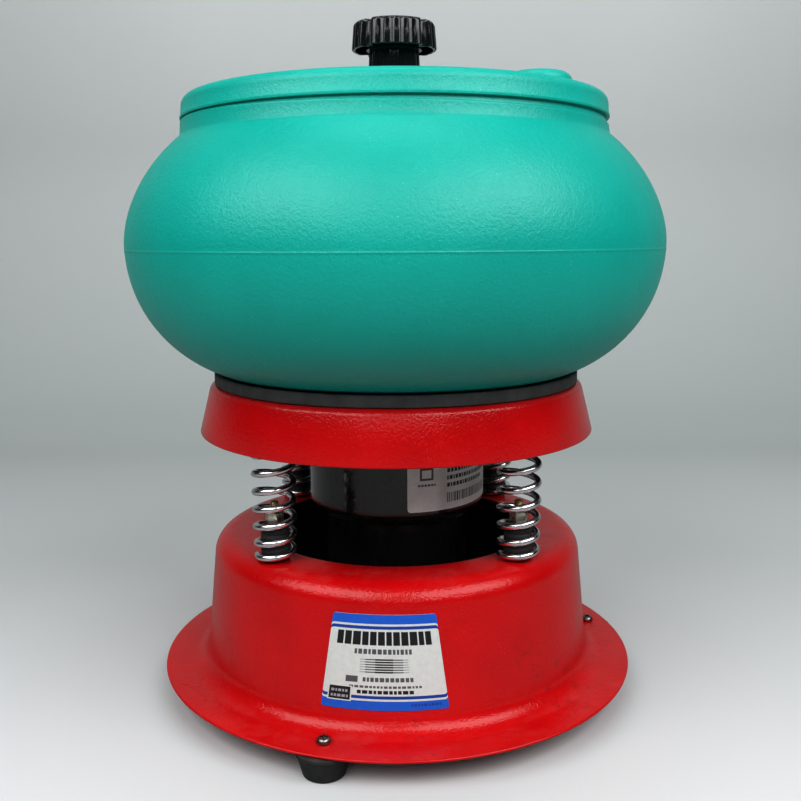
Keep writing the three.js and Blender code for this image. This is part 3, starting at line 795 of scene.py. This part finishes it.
def top_pan():
    """A pressed sheet pan, open below, with a rounded rim."""
    rim = SHEET / 2
    profile = [
        (4.3, PAN_TOP - SHEET),
        *arc(*PAN_EDGE, PAN_EDGE_R - SHEET, 90, PAN_FLARE_DEG, 8),
        *arc(PAN_BOTTOM_R - rim, PAN_BOTTOM + rim, rim, 180, 360, 8),
        *arc(*PAN_EDGE, PAN_EDGE_R, PAN_FLARE_DEG, 90, 12),
        (4.3, PAN_TOP),
    ]
    dress(turned("top_pan_sheet", profile, 240, sharp_deg=40), "pan", red, "red_paint", "top_pan")

    under_sheet = PAN_TOP - SHEET
    spacers = []
    for node in numbered("motor_bolt", 3):
        spot = middle(node).to_2d()
        bottom = high("motor_housing").z + GAP
        end = under_sheet - 0.1
        section = rounded((3.3, bottom), (6, bottom, 0.5), (6, end, 0.5), (3.3, end))
        spacers.append(turned(node + "_spacer", section, 40, spot))
    dress(joined("motor_spacers", spacers), "pan", plating, "zinc_steel")

    studs = []
    for i, spot in enumerate(SPRING_SPOTS, 1):
        tip = low(f"upper_spring_nut_{i}").z - 4
        studs.append(moved_about(threaded_rod("stud", *M5, tip, under_sheet - 0.1, spot), *spot))
    dress(joined("pan_spring_studs", studs), "pan", plating, "zinc_steel")


def gasket_disc():
    """A thick rubber disc, dished on top to take the bowl's underside."""
    outer, bottom, top = high("gasket_disc").x, *span("gasket_disc")
    dish_z = EQUATOR_Z - LOWER_FLANK[1] - GAP
    disc = turned("gasket", rounded(
        (12, bottom), (outer, bottom, 0.7), (outer, top, 0.9), (outer - 1.8, top),
        (94, dish_z + 1.9), (LOWER_FLANK[0], dish_z), (12, dish_z), steps=4), 200)
    dress(disc, "pan", gasket_rubber, "dark_rubber", "gasket_disc")


def centre_stud():
    rod = threaded_rod("rod", STUD_R, 1.25, *span("centre_stud"))
    collar = hex_nut("collar", 13.6, PAN_TOP + GAP, 5.7, STUD_R - 0.3)
    dress(joined("centre_stud_fine", [rod, collar]), "pan", plating, "zinc_steel", "centre_stud")
    nut = hex_nut("stud_nut_fine", 13, low("stud_nut").z, 6.5, STUD_BORE_R, turn=0.4)
    dress(nut, "pan", plating, "zinc_steel", "stud_nut")


# ---- motor ----

MOTOR_R = high("motor_housing").x
MOTOR_TOP = high("motor_housing").z
SHELL_BOTTOM = low("motor_housing").z
BELL_R = high("motor_end_bell").x
BELL_BOTTOM = low("motor_end_bell").z
BEARING_R = high("upper_bearing").x
BEARING_WIDTH = 9
BEARING_SEAT_R = BEARING_R + GAP
SEAT_OUTER_R = BEARING_SEAT_R + 3
SHAFT_HOLE_R = 9
BOLT_SPOTS = [middle(node).to_2d() for node in numbered("motor_bolt", 3)]


def motor_housing():
    """The drawn upper shell, with a bead rolled round it where it grips the end bell."""
    ceiling = MOTOR_TOP - SHEET
    inner = MOTOR_R - SHEET
    top_shoulder, shoulder = 4, 9
    profile = [
        (SHAFT_HOLE_R, ceiling), (BEARING_SEAT_R, ceiling), (BEARING_SEAT_R, ceiling - BEARING_WIDTH),
        (SEAT_OUTER_R, ceiling - BEARING_WIDTH), (SEAT_OUTER_R, ceiling),
        (inner - 1, ceiling), (inner, ceiling - 1), (inner, SHELL_BOTTOM + shoulder),
        (BELL_R + GAP, SHELL_BOTTOM + SHEET), (BELL_R + GAP, SHELL_BOTTOM),
        *arc(MOTOR_R - shoulder, SHELL_BOTTOM + shoulder, shoulder, -90, 0, 12),
        *arc(MOTOR_R - top_shoulder, MOTOR_TOP - top_shoulder, top_shoulder, 0, 90, 12),
        (SHAFT_HOLE_R, MOTOR_TOP),
    ]
    shell = turned("motor_shell", profile, 200, sharp_deg=40)
    holes = [drill(3.3, MOTOR_TOP - 8, MOTOR_TOP + 8, centre=spot) for spot in BOLT_SPOTS]
    carve(shell, holes, sharp_deg=40)
    dress(shell, "pan", black_enamel, "black_paint", "motor_housing")


def motor_end_bell():
    """The lower shell, with the lower bearing's seat."""
    corner_r = 8
    floor = BELL_BOTTOM + SHEET
    bell_top = high("motor_end_bell").z
    profile = [
        (SHAFT_HOLE_R, BELL_BOTTOM),
        *arc(BELL_R - corner_r, BELL_BOTTOM + corner_r, corner_r, -90, 0, 10),
        (BELL_R, bell_top), (BELL_R - SHEET, bell_top),
        *arc(BELL_R - corner_r, BELL_BOTTOM + corner_r, corner_r - SHEET, 0, -90, 8),
        (SEAT_OUTER_R, floor), (SEAT_OUTER_R, floor + BEARING_WIDTH),
        (BEARING_SEAT_R, floor + BEARING_WIDTH), (BEARING_SEAT_R, floor), (SHAFT_HOLE_R, floor),
    ]
    bell = turned("motor_bell", profile, 144, sharp_deg=40)
    dress(bell, "pan", black_enamel, "black_paint", "motor_end_bell")


def bearing(node):
    """Two ground races with a pressed shield between them."""
    bottom, top = span(node)
    shaft_r = high("motor_shaft").x + GAP
    race_r, shield_in, shield_out = shaft_r + 1.9, shaft_r + 1.7, BEARING_R - 2.0

    def race(name, inner_r, inner_edge, outer_r, outer_edge):
        return turned(name, rounded(
            (inner_r, bottom, inner_edge), (outer_r, bottom, outer_edge),
            (outer_r, top, outer_edge), (inner_r, top, inner_edge)), 72)

    outer = race("outer", BEARING_R - 2.2, 0.3, BEARING_R, 0.7)
    inner = race("inner", shaft_r, 0.5, race_r, 0.3)
    shield = turned("shield", rounded(
        (shield_in, bottom + 0.7), (shield_out, bottom + 0.7), (shield_out, top - 0.7),
        (BEARING_R - 3.2, top - 0.9, 0.2), (shaft_r + 2.6, top - 0.9, 0.2), (shield_in, top - 0.7)), 72)
    dress(joined(node + "_fine", [outer, inner, shield]), "pan", steel, "bearing_steel", node)


def slotted(count, tooth, gap, share, skew=0.0):
    """Radius as a function of the angle: teeth at one radius with slots down to another between them."""
    def radius(angle):
        turn = ((angle + skew) / TAU * count) % 1.0
        edge = min(abs(turn - 0.5) / (share / 2), 2.0)
        ease = max(0.0, min(1.0, (1.15 - edge) / 0.3))
        return tooth + (gap - tooth) * ease
    return radius


def motor_stator():
    bottom, top = span("motor_stator")
    outer = high("motor_stator").x
    bore = 25.2
    inner = slotted(24, bore, bore + 9, 0.4)
    section = ((outer, bottom), (outer, top), (inner, top), (inner, bottom))
    rings = [circle(r, z, 384) for r, z in section]
    core = loft("stator_core", rings, closed=True, sharp_deg=30)
    dress(core, "pan", stack, "laminations", "motor_stator")

    def bundle(z, lean):
        """A bound ring of end turns, lumpy where the coils cross."""
        rings = []
        for k in range(20):
            a = TAU * k / 20

            def radius(angle):
                lump = 1 + 0.09 * math.sin(12 * angle + 2 * a) * math.cos(a - 0.6)
                return 33.6 + 6.2 * math.cos(a) * lump

            height = z + lean * 1.2 + 3.9 * math.sin(a)
            rings.append(circle(radius, height, 192))
        return loft("turns", rings, closed=True, sharp_deg=60)

    bundles = [bundle(top + 3.6, 1), bundle(bottom - 3.6, -1)]
    dress(joined("motor_windings", bundles), "pan", windings, "brass")


def motor_rotor():
    bottom, top = span("rotor_core")
    outer = high("rotor_core").x
    bore = high("motor_shaft").x + GAP
    rings = [circle(bore, bottom, 240)]
    layers = 10
    for k in range(layers + 1):
        bars = slotted(30, outer, outer - 0.7, 0.22, skew=0.25 * k / layers)
        rings.append(circle(bars, bottom + (top - bottom) * k / layers, 240))
    rings.append(circle(bore, top, 240))
    core = loft("rotor_stack", rings, closed=True, sharp_deg=40)
    dress(core, "rotor", stack, "laminations", "rotor_core")

    shaft_r = high("motor_shaft").x
    low_end, high_end = span("motor_shaft")
    shaft = turned_solid("shaft", [
        (shaft_r - 1, low_end), (shaft_r, low_end + 1),
        (shaft_r, high_end - 1), (shaft_r - 1, high_end)], 64)
    carve(shaft, [block((20, 4, 8.5), (0, -shaft_r - 1.2, high_end - 4.2)),
                  block((20, 4, 16), (0, -shaft_r - 1.2, low_end + 8))])
    dress(shaft, "rotor", steel, "bearing_steel", "motor_shaft")


def eccentric_weight(node):
    """Half a thick disc cast with a round hub, bored, bevelled and drilled for a set screw."""
    radius, bottom, top = high(node).x, *span(node)
    hub = 12
    rim = [(x, y) for x, y in arc(0, 0, radius, 0, 180, 60) if y > 0.01]
    outline = [(radius, 0.0), *rim, (-radius, 0.0), *arc(0, 0, hub, 180, 360, 30)]
    body = plate(node + "_fine", outline, bottom, top, 0.7)
    bore = drill(6.3, bottom - 5, top + 5, 48)
    sideways = Matrix.Rotation(math.radians(-90), 4, "X")
    screw_hole = moved(drill(2.1, -20, 0), z=(bottom + top) / 2, turn=sideways)
    carve(body, [bore, screw_hole])
    dress(body, "rotor", iron, "cast_iron", node)


def plate(name, outline, bottom, top, bevel):
    """A prism over an outline, its top and bottom edges rounded."""
    bm = bmesh.new()
    lower = [bm.verts.new(Vector((x, y, bottom)) * MM) for x, y in outline]
    upper = [bm.verts.new(Vector((x, y, top)) * MM) for x, y in outline]
    count = len(outline)
    for k in range(count):
        n = (k + 1) % count
        bm.faces.new((lower[k], lower[n], upper[n], upper[k]))
    caps = [bm.faces.new(lower[::-1]), bm.faces.new(upper)]
    edges = [edge for cap in caps for edge in cap.edges]
    bmesh.ops.bevel(bm, geom=edges, offset=bevel * MM, segments=3, profile=0.6, affect="EDGES")
    return new_object(name, bm)


def motor():
    motor_housing()
    motor_end_bell()
    motor_stator()
    motor_rotor()
    for make, kind in ((bearing, "bearing"), (eccentric_weight, "weight")):
        for end in ("upper", "lower"):
            make(f"{end}_{kind}")
    for i, spot in enumerate(BOLT_SPOTS, 1):
        node = f"motor_bolt_{i}"
        seat = MOTOR_TOP - SHEET - GAP
        head = pan_head("head", 3, 5, 3.5, seat, spot, down=True, turn=i)
        shank = threaded_rod("shank", *M6, seat + 1.4, high(node).z, spot)
        dress(joined(f"{node}_fine", [head, shank]), "pan", plating, "zinc_steel", node)


# ---- bowl ----

def flank(shape, direction, inset, start_deg, end_deg, steps):
    """Part of a quarter superellipse above or below the bowl's widest place."""
    width, height, power = shape
    points = []
    for cos, sin in arc(0, 0, 1, start_deg, end_deg, steps):
        r = BOWL_R - width + (width - inset) * max(cos, 0) ** power
        points.append((r, EQUATOR_Z + direction * (height - inset) * max(sin, 0) ** power))
    return points


def bowl_side(z):
    """Radius of the bowl's outside at a height below its widest place."""
    width, height, power = LOWER_FLANK
    sine = max(0.0, (EQUATOR_Z - z) / height) ** (1 / power)
    return BOWL_R - width + width * (1 - sine * sine) ** (power / 2)


def bowl():
    """Moulded ring tub: a parting line just below the widest place, a neck and a lip for the lid."""
    hole_r, post_top, post_top_r, post_foot_r = 5, LIP_TOP - 22.9, 16, 34
    bottom = EQUATOR_Z - LOWER_FLANK[1]
    inner_r = LIP_R - WALL
    seam = EQUATOR_Z - 3.2
    parting = [(bowl_side(seam + dz) + proud, seam + dz)
               for dz, proud in ((-0.7, 0), (-0.35, 0.16), (0, 0.24), (0.3, 0.05), (0.7, 0))]
    below = [p for p in flank(LOWER_FLANK, -1, 0, 90, 0, 56) if p[1] < seam - 1]
    above = [p for p in flank(LOWER_FLANK, -1, 0, 8, 0, 6) if p[1] > seam + 1]
    profile = [
        (hole_r, post_top - WALL), (post_top_r - WALL, post_top - WALL),
        (post_foot_r - WALL - 1, bottom + 2),
        (post_foot_r - WALL + 1.5, bottom), *below, *parting, *above,
        *flank(UPPER_FLANK, 1, 0, 2, 53.2, 34), (NECK_R + 0.5, EQUATOR_Z + 58.9),
        *arc(NECK_R - 1.2, NECK_TOP - 1.2, 1.2, 0, 90, 5),
        *arc(LIP_R - 1, LIP_TOP - 1, 1, 0, 90, 4), *arc(inner_r + 1, LIP_TOP - 1, 1, 90, 180, 4),
        *flank(UPPER_FLANK, 1, WALL, 59.7, 4, 20), *flank(LOWER_FLANK, -1, WALL, 0, 88, 30),
        (post_foot_r + 6, bottom + WALL), (post_foot_r + 1.6, bottom + WALL + 1.4),
        (post_foot_r, bottom + WALL + 5),
        *arc(post_top_r - 1.6, post_top - 1.6, 1.6, 8, 90, 5), (hole_r, post_top),
    ]
    tub = turned("bowl_shell", profile, 256, sharp_deg=50)
    for vertex in tub.data.vertices:
        x, y, z = vertex.co / MM
        if z > NECK_TOP - 1.3 and math.hypot(x, y) > LIP_R + 0.5:
            vertex.co.z -= NECK_TILT * x / NECK_R * MM
    dress(tub, "bowl", teal, "tub_plastic", "bowl")

    seat = low("bowl_nut").z
    nut = hex_nut("nut", 13, seat + 1.5, 6, STUD_BORE_R)
    washer = turned("flange", rounded((STUD_BORE_R, seat), (11, seat, 0.3), (10.8, seat + 1.1, 0.3),
                                      (7.6, seat + 2.2), (STUD_BORE_R, seat + 2.2)), 72)
    dress(joined("bowl_nut_fine", [nut, washer]), "bowl", plating, "zinc_steel", "bowl_nut")


# ---- lid and knob ----

LID_BOSS = Vector((72, -66))
LID_BOSS_R = 17.2
LID_BOSS_TOP = LID_TOP + 4.8
HUB_TOP = low("knob_washer").z - GAP


def lid():
    """Moulded cover: rounded rim, raised hub, a spigot inside the bowl's neck, a low round boss
    and a bead of flash round the foot of its skirt."""
    hole_r, under = 4.8, LID_TOP - 3.5
    spigot_r = LIP_R - WALL - 0.9
    edge = 5.5
    spigot_inner_r, skirt_inner_r = spigot_r - 3.3, LID_R - 2.8
    profile = rounded(
        (hole_r, HUB_TOP - 3.5), (30.5, HUB_TOP - 3.5, 1.5), (35, under, 1.5),
        (spigot_inner_r, under, 1), (spigot_inner_r, under - 8, 1), (spigot_r, under - 8, 1),
        (spigot_r, under, 0.4), (skirt_inner_r, under, 0.8), (skirt_inner_r, LID_BOTTOM, 0.5),
        (LID_R, LID_BOTTOM, 0.4), (LID_R, LID_BOTTOM + 1.3, 0.3), (LID_R - 0.45, LID_BOTTOM + 1.9),
        (LID_R - 1.3, LID_TOP, edge), (36.5, LID_TOP, 2.5), (32, HUB_TOP, 2), (hole_r, HUB_TOP),
        steps=6)
    cover = turned("lid_shell", profile, 256, sharp_deg=50)
    shoulder = 7
    boss = turned_solid("boss", [
        (LID_BOSS_R, LID_TOP - 2),
        *[(LID_BOSS_R - shoulder + shoulder * x, LID_TOP + (LID_BOSS_TOP - LID_TOP) * z)
          for x, z in arc(0, 0, 1, 0, 85, 10)],
        (LID_BOSS_R * 0.3, LID_BOSS_TOP + 0.25)], 72, LID_BOSS)
    carve(cover, [boss], "UNION", sharp_deg=50)
    dress(cover, "lid", lid_teal_painted_light, "tub_plastic", "lid")

    outer, inner = high("lid_seal").x, LIP_R - WALL
    bottom, top = span("lid_seal")
    middle_z = (bottom + top) / 2
    seal = turned("lid_seal_ring", rounded(
        (inner, bottom, 0.4), (outer, bottom, 0.4), (outer, middle_z - 0.2), (outer - 0.5, middle_z),
        (outer, middle_z + 0.2), (outer, top, 0.4), (inner, top, 0.4), steps=3), 200)
    dress(seal, "lid", dark_rubber, "dark_rubber", "lid_seal")


KNOB_R = high("knob").x
KNOB_TOP = high("knob").z
KNOB_BOTTOM = low("knob").z
KNOB_HEAD_BOTTOM = KNOB_TOP - 15
KNOB_TURN = math.radians(3.5)
KNOB_RIBS = 28
KNOB_HUB_R = 14.8


def knob_edge(angle, flute=1.0):
    """Outline of the head: four wide lobes, each of seven ribs, with narrow notches between them."""
    angle -= KNOB_TURN
    quarter = math.remainder(angle - TAU / 8, TAU / 4)
    notch = max(0.0, 1 - abs(quarter) / math.radians(8.5))
    notch_depth = 4.8 * notch ** 0.5
    rib = abs(math.sin(angle * KNOB_RIBS / 2))
    return KNOB_R - notch_depth - flute * (1 - rib) * (1 - notch)


def knob():
    """A moulded hand knob with a slightly domed top, over a ribbed hub."""
    sides = 720
    rise = KNOB_TOP - KNOB_HEAD_BOTTOM
    draft = math.tan(math.radians(4.5))
    levels = [
        (KNOB_HEAD_BOTTOM, -0.5, 0.6), (KNOB_HEAD_BOTTOM + 0.5, 0, 1),
        (KNOB_HEAD_BOTTOM + rise * 0.5, -rise * 0.5 * draft, 1),
        (KNOB_TOP - 2.4, -(rise - 2.4) * draft, 1),
        (KNOB_TOP - 1.7, -rise * draft - 0.1, 0.3), (KNOB_TOP - 0.9, -rise * draft - 0.7, 0.0),
        (KNOB_TOP - 0.35, -rise * draft - 2.0, 0.0), (KNOB_TOP - 0.15, -5.6, 0.0), (KNOB_TOP, -13, 0.0),
    ]
    rings = [circle(lambda a, i=inset, f=flute: knob_edge(a, f) + i, z, sides)
             for z, inset, flute in levels]
    head = loft("head", rings, sharp_deg=50)
    ribs = slotted(22, KNOB_HUB_R, KNOB_HUB_R - 0.6, 0.6)
    hub_levels = [(KNOB_BOTTOM, -0.3), (KNOB_BOTTOM + 0.5, 0), (KNOB_HEAD_BOTTOM + 9, -1.1)]
    hub = loft("hub", [circle(lambda a, i=inset: ribs(a) + i, z, 336) for z, inset in hub_levels])
    hollow_bottom, hollow_top = KNOB_HEAD_BOTTOM - 1, KNOB_HEAD_BOTTOM + 8
    hollow = loft("hollow", [circle(r, z, 336) for r, z in (
        (KNOB_HUB_R + 0.9, hollow_bottom), (lambda a: knob_edge(a, 0) - 1.9, hollow_bottom),
        (lambda a: knob_edge(a, 0) - 2.8, hollow_top), (KNOB_HUB_R + 0.9, hollow_top))], closed=True)
    carve(head, [hollow], sharp_deg=40)
    carve(head, [hub], "UNION", sharp_deg=40)
    carve(head, [drill(7, KNOB_BOTTOM - 4, high("knob_insert").z + 1, 48)], sharp_deg=40)
    dress(head, "knob", black_moulding, "black_plastic", "knob")

    bottom, top = span("knob_insert")
    knurl = slotted(36, high("knob_insert").x, high("knob_insert").x - 0.5, 0.5)
    bore = STUD_BORE_R
    levels = [(bore, bottom + 0.6), (bore + 0.6, bottom), (5.8, bottom), (knurl, bottom + 0.8),
              (knurl, top - 0.8), (5.8, top), (bore, top)]
    insert = loft("knob_insert_fine", [circle(r, z, 288) for r, z in levels], closed=True)
    dress(insert, "knob", brass_turned, "brass", "knob_insert")

    bottom, top = span("knob_washer")
    washer = turned("knob_washer_fine", rounded(
        (4.6, bottom, 0.2), (13, bottom, 0.3), (13, top, 0.3), (4.6, top, 0.2), steps=3), 96)
    dress(washer, "knob_washer", plating, "zinc_steel", "knob_washer")


# ---- labels ----

BLUE = print_ink("label_blue", (0.014, 0.12, 0.56))
DARK_BLUE = print_ink("label_dark_blue", (0.009, 0.055, 0.32))
WHITE = print_ink("label_white", (0.63, 0.645, 0.63))
BLACK = print_ink("label_black", (0.012, 0.012, 0.014))
GREY = print_ink("label_grey", (0.10, 0.10, 0.11))
PALE_GREY = print_ink("label_pale_grey", (0.36, 0.36, 0.39))
SILVER = print_ink("label_silver", (0.74, 0.74, 0.72), 0.42, 0.25)
SILVER_EDGE = print_ink("label_silver_edge", (0.76, 0.76, 0.75), 0.38, 0.30)
FILM_THICKNESS, FILM_LIFT = 0.28, 0.05
BASE_LABEL_DEG = -93.4
MOTOR_LABEL_DEG = -45
INKS = [BLUE, DARK_BLUE, WHITE, BLACK, GREY, PALE_GREY, SILVER, SILVER_EDGE]


def row_of_bars(dice, left, right, low_z, high_z, widths, gap, ink):
    """A row of plain bars of varied width, standing for a line of print."""
    bars = []
    x = left
    while x < right - widths[0]:
        width = min(dice.uniform(*widths), right - x)
        bars.append((x, x + width, low_z, high_z, ink))
        x += width + gap
    return bars


def film_label(name, width, height, corner, prints, shape):
    """A thin film on a curved side. The sheet is cut along the edges of each printed rectangle
    (left, right, bottom, top, ink), the last one lying on top. Shape places a point (x, z, proud)."""
    half_w, half_h = width / 2, height / 2
    xs = {-half_w, half_w}
    zs = {-half_h, half_h}
    for left, right, bottom, top, _ in prints:
        xs.update((max(left, -half_w), min(right, half_w)))
        zs.update((max(bottom, -half_h), min(top, half_h)))
    for k in range(1, 24):
        xs.add(-half_w + width * k / 24)
    for k in range(6):
        step = corner * (1 - math.cos(math.pi / 2 * k / 5))
        xs.update((-half_w + step, half_w - step))
    xs, zs = (sorted({round(v, 3) for v in values}) for values in (xs, zs))

    def squeeze(x):
        """How much lower the label is where its corners are rounded."""
        past = abs(x) - (half_w - corner)
        if past <= 0:
            return 1.0
        return 1 - (corner - math.sqrt(max(0.0, corner * corner - past * past))) / half_h

    def ink_at(x, z):
        for left, right, bottom, top, ink in reversed(prints):
            if left <= x <= right and bottom <= z <= top:
                return ink
        return prints[0][4]

    bm = bmesh.new()
    sheets = []
    for proud in (FILM_LIFT, FILM_LIFT + FILM_THICKNESS):
        sheets.append([[bm.verts.new(Vector(shape(x, z * squeeze(x), proud)) * MM) for z in zs]
                       for x in xs])
    back, front = sheets
    columns, rows = len(xs) - 1, len(zs) - 1
    for i in range(columns):
        for j in range(rows):
            ink = INKS.index(ink_at((xs[i] + xs[i + 1]) / 2, (zs[j] + zs[j + 1]) / 2))
            corners = ((i, j), (i + 1, j), (i + 1, j + 1), (i, j + 1))
            for sheet in (back, front):
                bm.faces.new([sheet[a][b] for a, b in corners]).material_index = ink
    rim = [(i, 0) for i in range(columns)] + [(columns, j) for j in range(rows)]
    rim += [(i, rows) for i in range(columns, 0, -1)] + [(0, j) for j in range(rows, 0, -1)]
    for (a, b), (c, d) in zip(rim, rim[1:] + rim[:1]):
        edge = bm.faces.new([back[a][b], back[c][d], front[c][d], front[a][b]])
        edge.material_index = INKS.index(prints[0][4])
    label = new_object(name, bm, 30)
    for ink in INKS:
        label.data.materials.append(ink)
    return label


def base_label():
    """White film with blue bands above and below; bars stand for its lines of print."""
    dice = random.Random(11)
    width, height = 59.7, high("base_label").z - low("base_label").z
    centre_z = middle("base_label").z
    angle = math.radians(BASE_LABEL_DEG)
    taper = 0.2
    half_w, half_h = width / 2, height / 2
    band = 4.8
    prints = [(-half_w, half_w, -half_h, half_h, WHITE)]
    for side in (1, -1):
        edges = sorted((side * half_h, side * (half_h - band)))
        prints.append((-half_w, half_w, *edges, BLUE))
        edges = sorted((side * (half_h - band - 1.1), side * (half_h - band - 2.7)))
        prints.append((-half_w, half_w, *edges, DARK_BLUE))
    for row in ((-25.5, 25.5, 9.0, 16.0, (2.6, 4.4), 0.8, BLACK),
                (-15.5, 15.5, 4.4, 7.0, (1.2, 2.2), 0.7, GREY)):
        prints += row_of_bars(dice, *row)
    for k in range(6):
        z = 1.6 - k * 1.3
        for reach, ink in ((12.3, PALE_GREY), (9.6, GREY), (4.5, BLACK)):
            thick = 0.24 + 0.16 * (12.3 - reach) / 7.8
            prints.append((-reach, reach, z - thick, z + thick, ink))
    prints.append((-19, -13, -10.4, -7.2, GREY))
    for row in ((-10.5, 15, -9.9, -7.7, (1.1, 2.4), 0.6, GREY),
                (-17, 18, -13.2, -12.0, (0.9, 2.0), 0.6, GREY),
                (-13, 14, -16.2, -14.4, (1.2, 2.6), 0.6, BLACK),
                (12.5, 27.5, -half_h + 2.2, -half_h + 3.4, (0.8, 1.8), 0.5, DARK_BLUE)):
        prints += row_of_bars(dice, *row)
    prints.append((-27.2, -15.6, -20.6, -12.6, WHITE))
    prints.append((-26.6, -16.2, -20.0, -13.2, BLACK))
    for z in (-15.4, -18.2):
        prints += row_of_bars(dice, -25.6, -17.2, z - 0.7, z + 0.7, (0.8, 1.8), 0.5, PALE_GREY)

    def shape(x, z, proud):
        r = base_side(centre_z + z) + proud
        turn = angle + x * (1 - taper * z / height) / base_side(centre_z)
        return (r * math.cos(turn), r * math.sin(turn), centre_z + z)

    label = film_label("base_label_film", width, height, 1.6, prints, shape)
    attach(label, "base")
    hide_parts("base_label")


def motor_label():
    """Silver film with a lighter edge; bars stand for its print."""
    dice = random.Random(5)
    width, height = 70, high("motor_label").z - low("motor_label").z
    centre_z = middle("motor_label").z
    angle = math.radians(MOTOR_LABEL_DEG)
    half_w, half_h = width / 2, height / 2
    prints = [(-half_w, half_w, -half_h, half_h, SILVER_EDGE),
              (-half_w + 0.8, half_w - 0.8, -half_h + 0.8, half_h - 0.8, SILVER)]
    prints.append((7 - half_w, 15 - half_w, half_h - 20, half_h - 13, GREY))
    prints.append((8.2 - half_w, 13.8 - half_w, half_h - 18.8, half_h - 14.2, SILVER))
    prints += row_of_bars(dice, 6 - half_w, 16.5 - half_w, half_h - 23.4, half_h - 22.2,
                          (0.8, 1.6), 0.5, GREY)
    column = 24 - half_w
    for k in range(5):
        top = half_h - 6 - 4.2 * k
        right = half_w - (3 if k in (2, 3) else 12)
        prints += row_of_bars(dice, column, right, top - 2.3, top, (1.0, 2.2), 0.6, BLACK)
    prints += row_of_bars(dice, column, half_w - 3, 4.0 - half_h, 9.5 - half_h, (0.5, 1.5), 0.6, GREY)

    def shape(x, z, proud):
        r = MOTOR_R + proud
        turn = angle + x / MOTOR_R
        return (r * math.cos(turn), r * math.sin(turn), centre_z + z)

    label = film_label("motor_label_film", width, height, 2.0, prints, shape)
    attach(label, "pan")
    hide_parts("motor_label")


# ---- floor, camera and light ----

def floor_and_sweep():
    """A floor that curves up into a wall behind the object."""
    front, back, curve_r, wall_top, half_width = -3000, 600, 420, 3400, 4000
    outline = [(front, 0.0)]
    outline += [(back + x, curve_r + z) for x, z in arc(0, 0, curve_r, -90, 0, 24)]
    outline.append((back + curve_r, wall_top))
    bm = bmesh.new()
    rows = [[bm.verts.new(Vector((x, y, z)) * MM) for y, z in outline]
            for x in (-half_width, half_width)]
    for k in range(len(outline) - 1):
        bm.faces.new((rows[0][k], rows[1][k], rows[1][k + 1], rows[0][k + 1]))
    sweep = new_object("floor_and_sweep", bm)
    sweep.data.materials.append(pale_ground())


def camera():
    data = bpy.data.cameras.new("camera")
    data.sensor_width = 36
    data.lens = 42.7
    data.shift_x = 0.0056
    thing = bpy.data.objects.new("camera", data)
    pitch, roll = math.radians(9.72), math.radians(-0.3)
    thing.matrix_world = (Matrix.Translation((0, -0.564, 0.2657))
                          @ Matrix.Rotation(math.radians(90) - pitch, 4, "X")
                          @ Matrix.Rotation(roll, 4, "Z"))
    bpy.context.scene.collection.objects.link(thing)
    bpy.context.scene.camera = thing


def soft_box(name, azimuth_deg, distance, height, size, power, aim=(0, 0, 0.2)):
    """A square-on panel of light. Azimuth 0 is in front of the object, positive to its right."""
    data = bpy.data.lights.new(name, "AREA")
    data.shape = "RECTANGLE"
    data.size, data.size_y = size
    data.energy = power
    thing = bpy.data.objects.new(name, data)
    azimuth = math.radians(azimuth_deg)
    thing.location = (distance * math.sin(azimuth), -distance * math.cos(azimuth), height)
    thing.rotation_euler = (Vector(aim) - thing.location).to_track_quat("-Z", "Y").to_euler()
    bpy.context.scene.collection.objects.link(thing)


def lights():
    scene = bpy.context.scene
    scene.view_settings.view_transform = "Standard"
    scene.view_settings.gamma = 0.8
    world = bpy.data.worlds.new("world")
    world.use_nodes = True
    background = world.node_tree.nodes["Background"]
    background.inputs["Color"].default_value = (0.80, 0.90, 0.95, 1)
    background.inputs["Strength"].default_value = 0.01
    scene.world = world
    soft_box("left_box", -45, 1.42, 1.42, (1.9, 1.1), 31)
    soft_box("right_box", 45, 1.42, 1.42, (1.9, 1.1), 34.5)
    soft_box("front_card", 0, 2.1, 1.3, (2.4, 0.5), 2)
    soft_box("low_card", 0, 2.1, 0.92, (1.7, 0.26), 3.2)
    soft_box("wall_light", 180, 0.1, 2.4, (1.6, 0.5), 13, aim=(0, 0.95, 1.3))


camera()
base_housing()
cord_gland()
for foot_node, foot_spot in zip(numbered("foot", 3), FOOT_SPOTS):
    foot(foot_node, foot_spot)
spring_seats()
top_pan()
gasket_disc()
centre_stud()
motor()
bowl()
lid()
knob()
base_label()
motor_label()
floor_and_sweep()
lights()
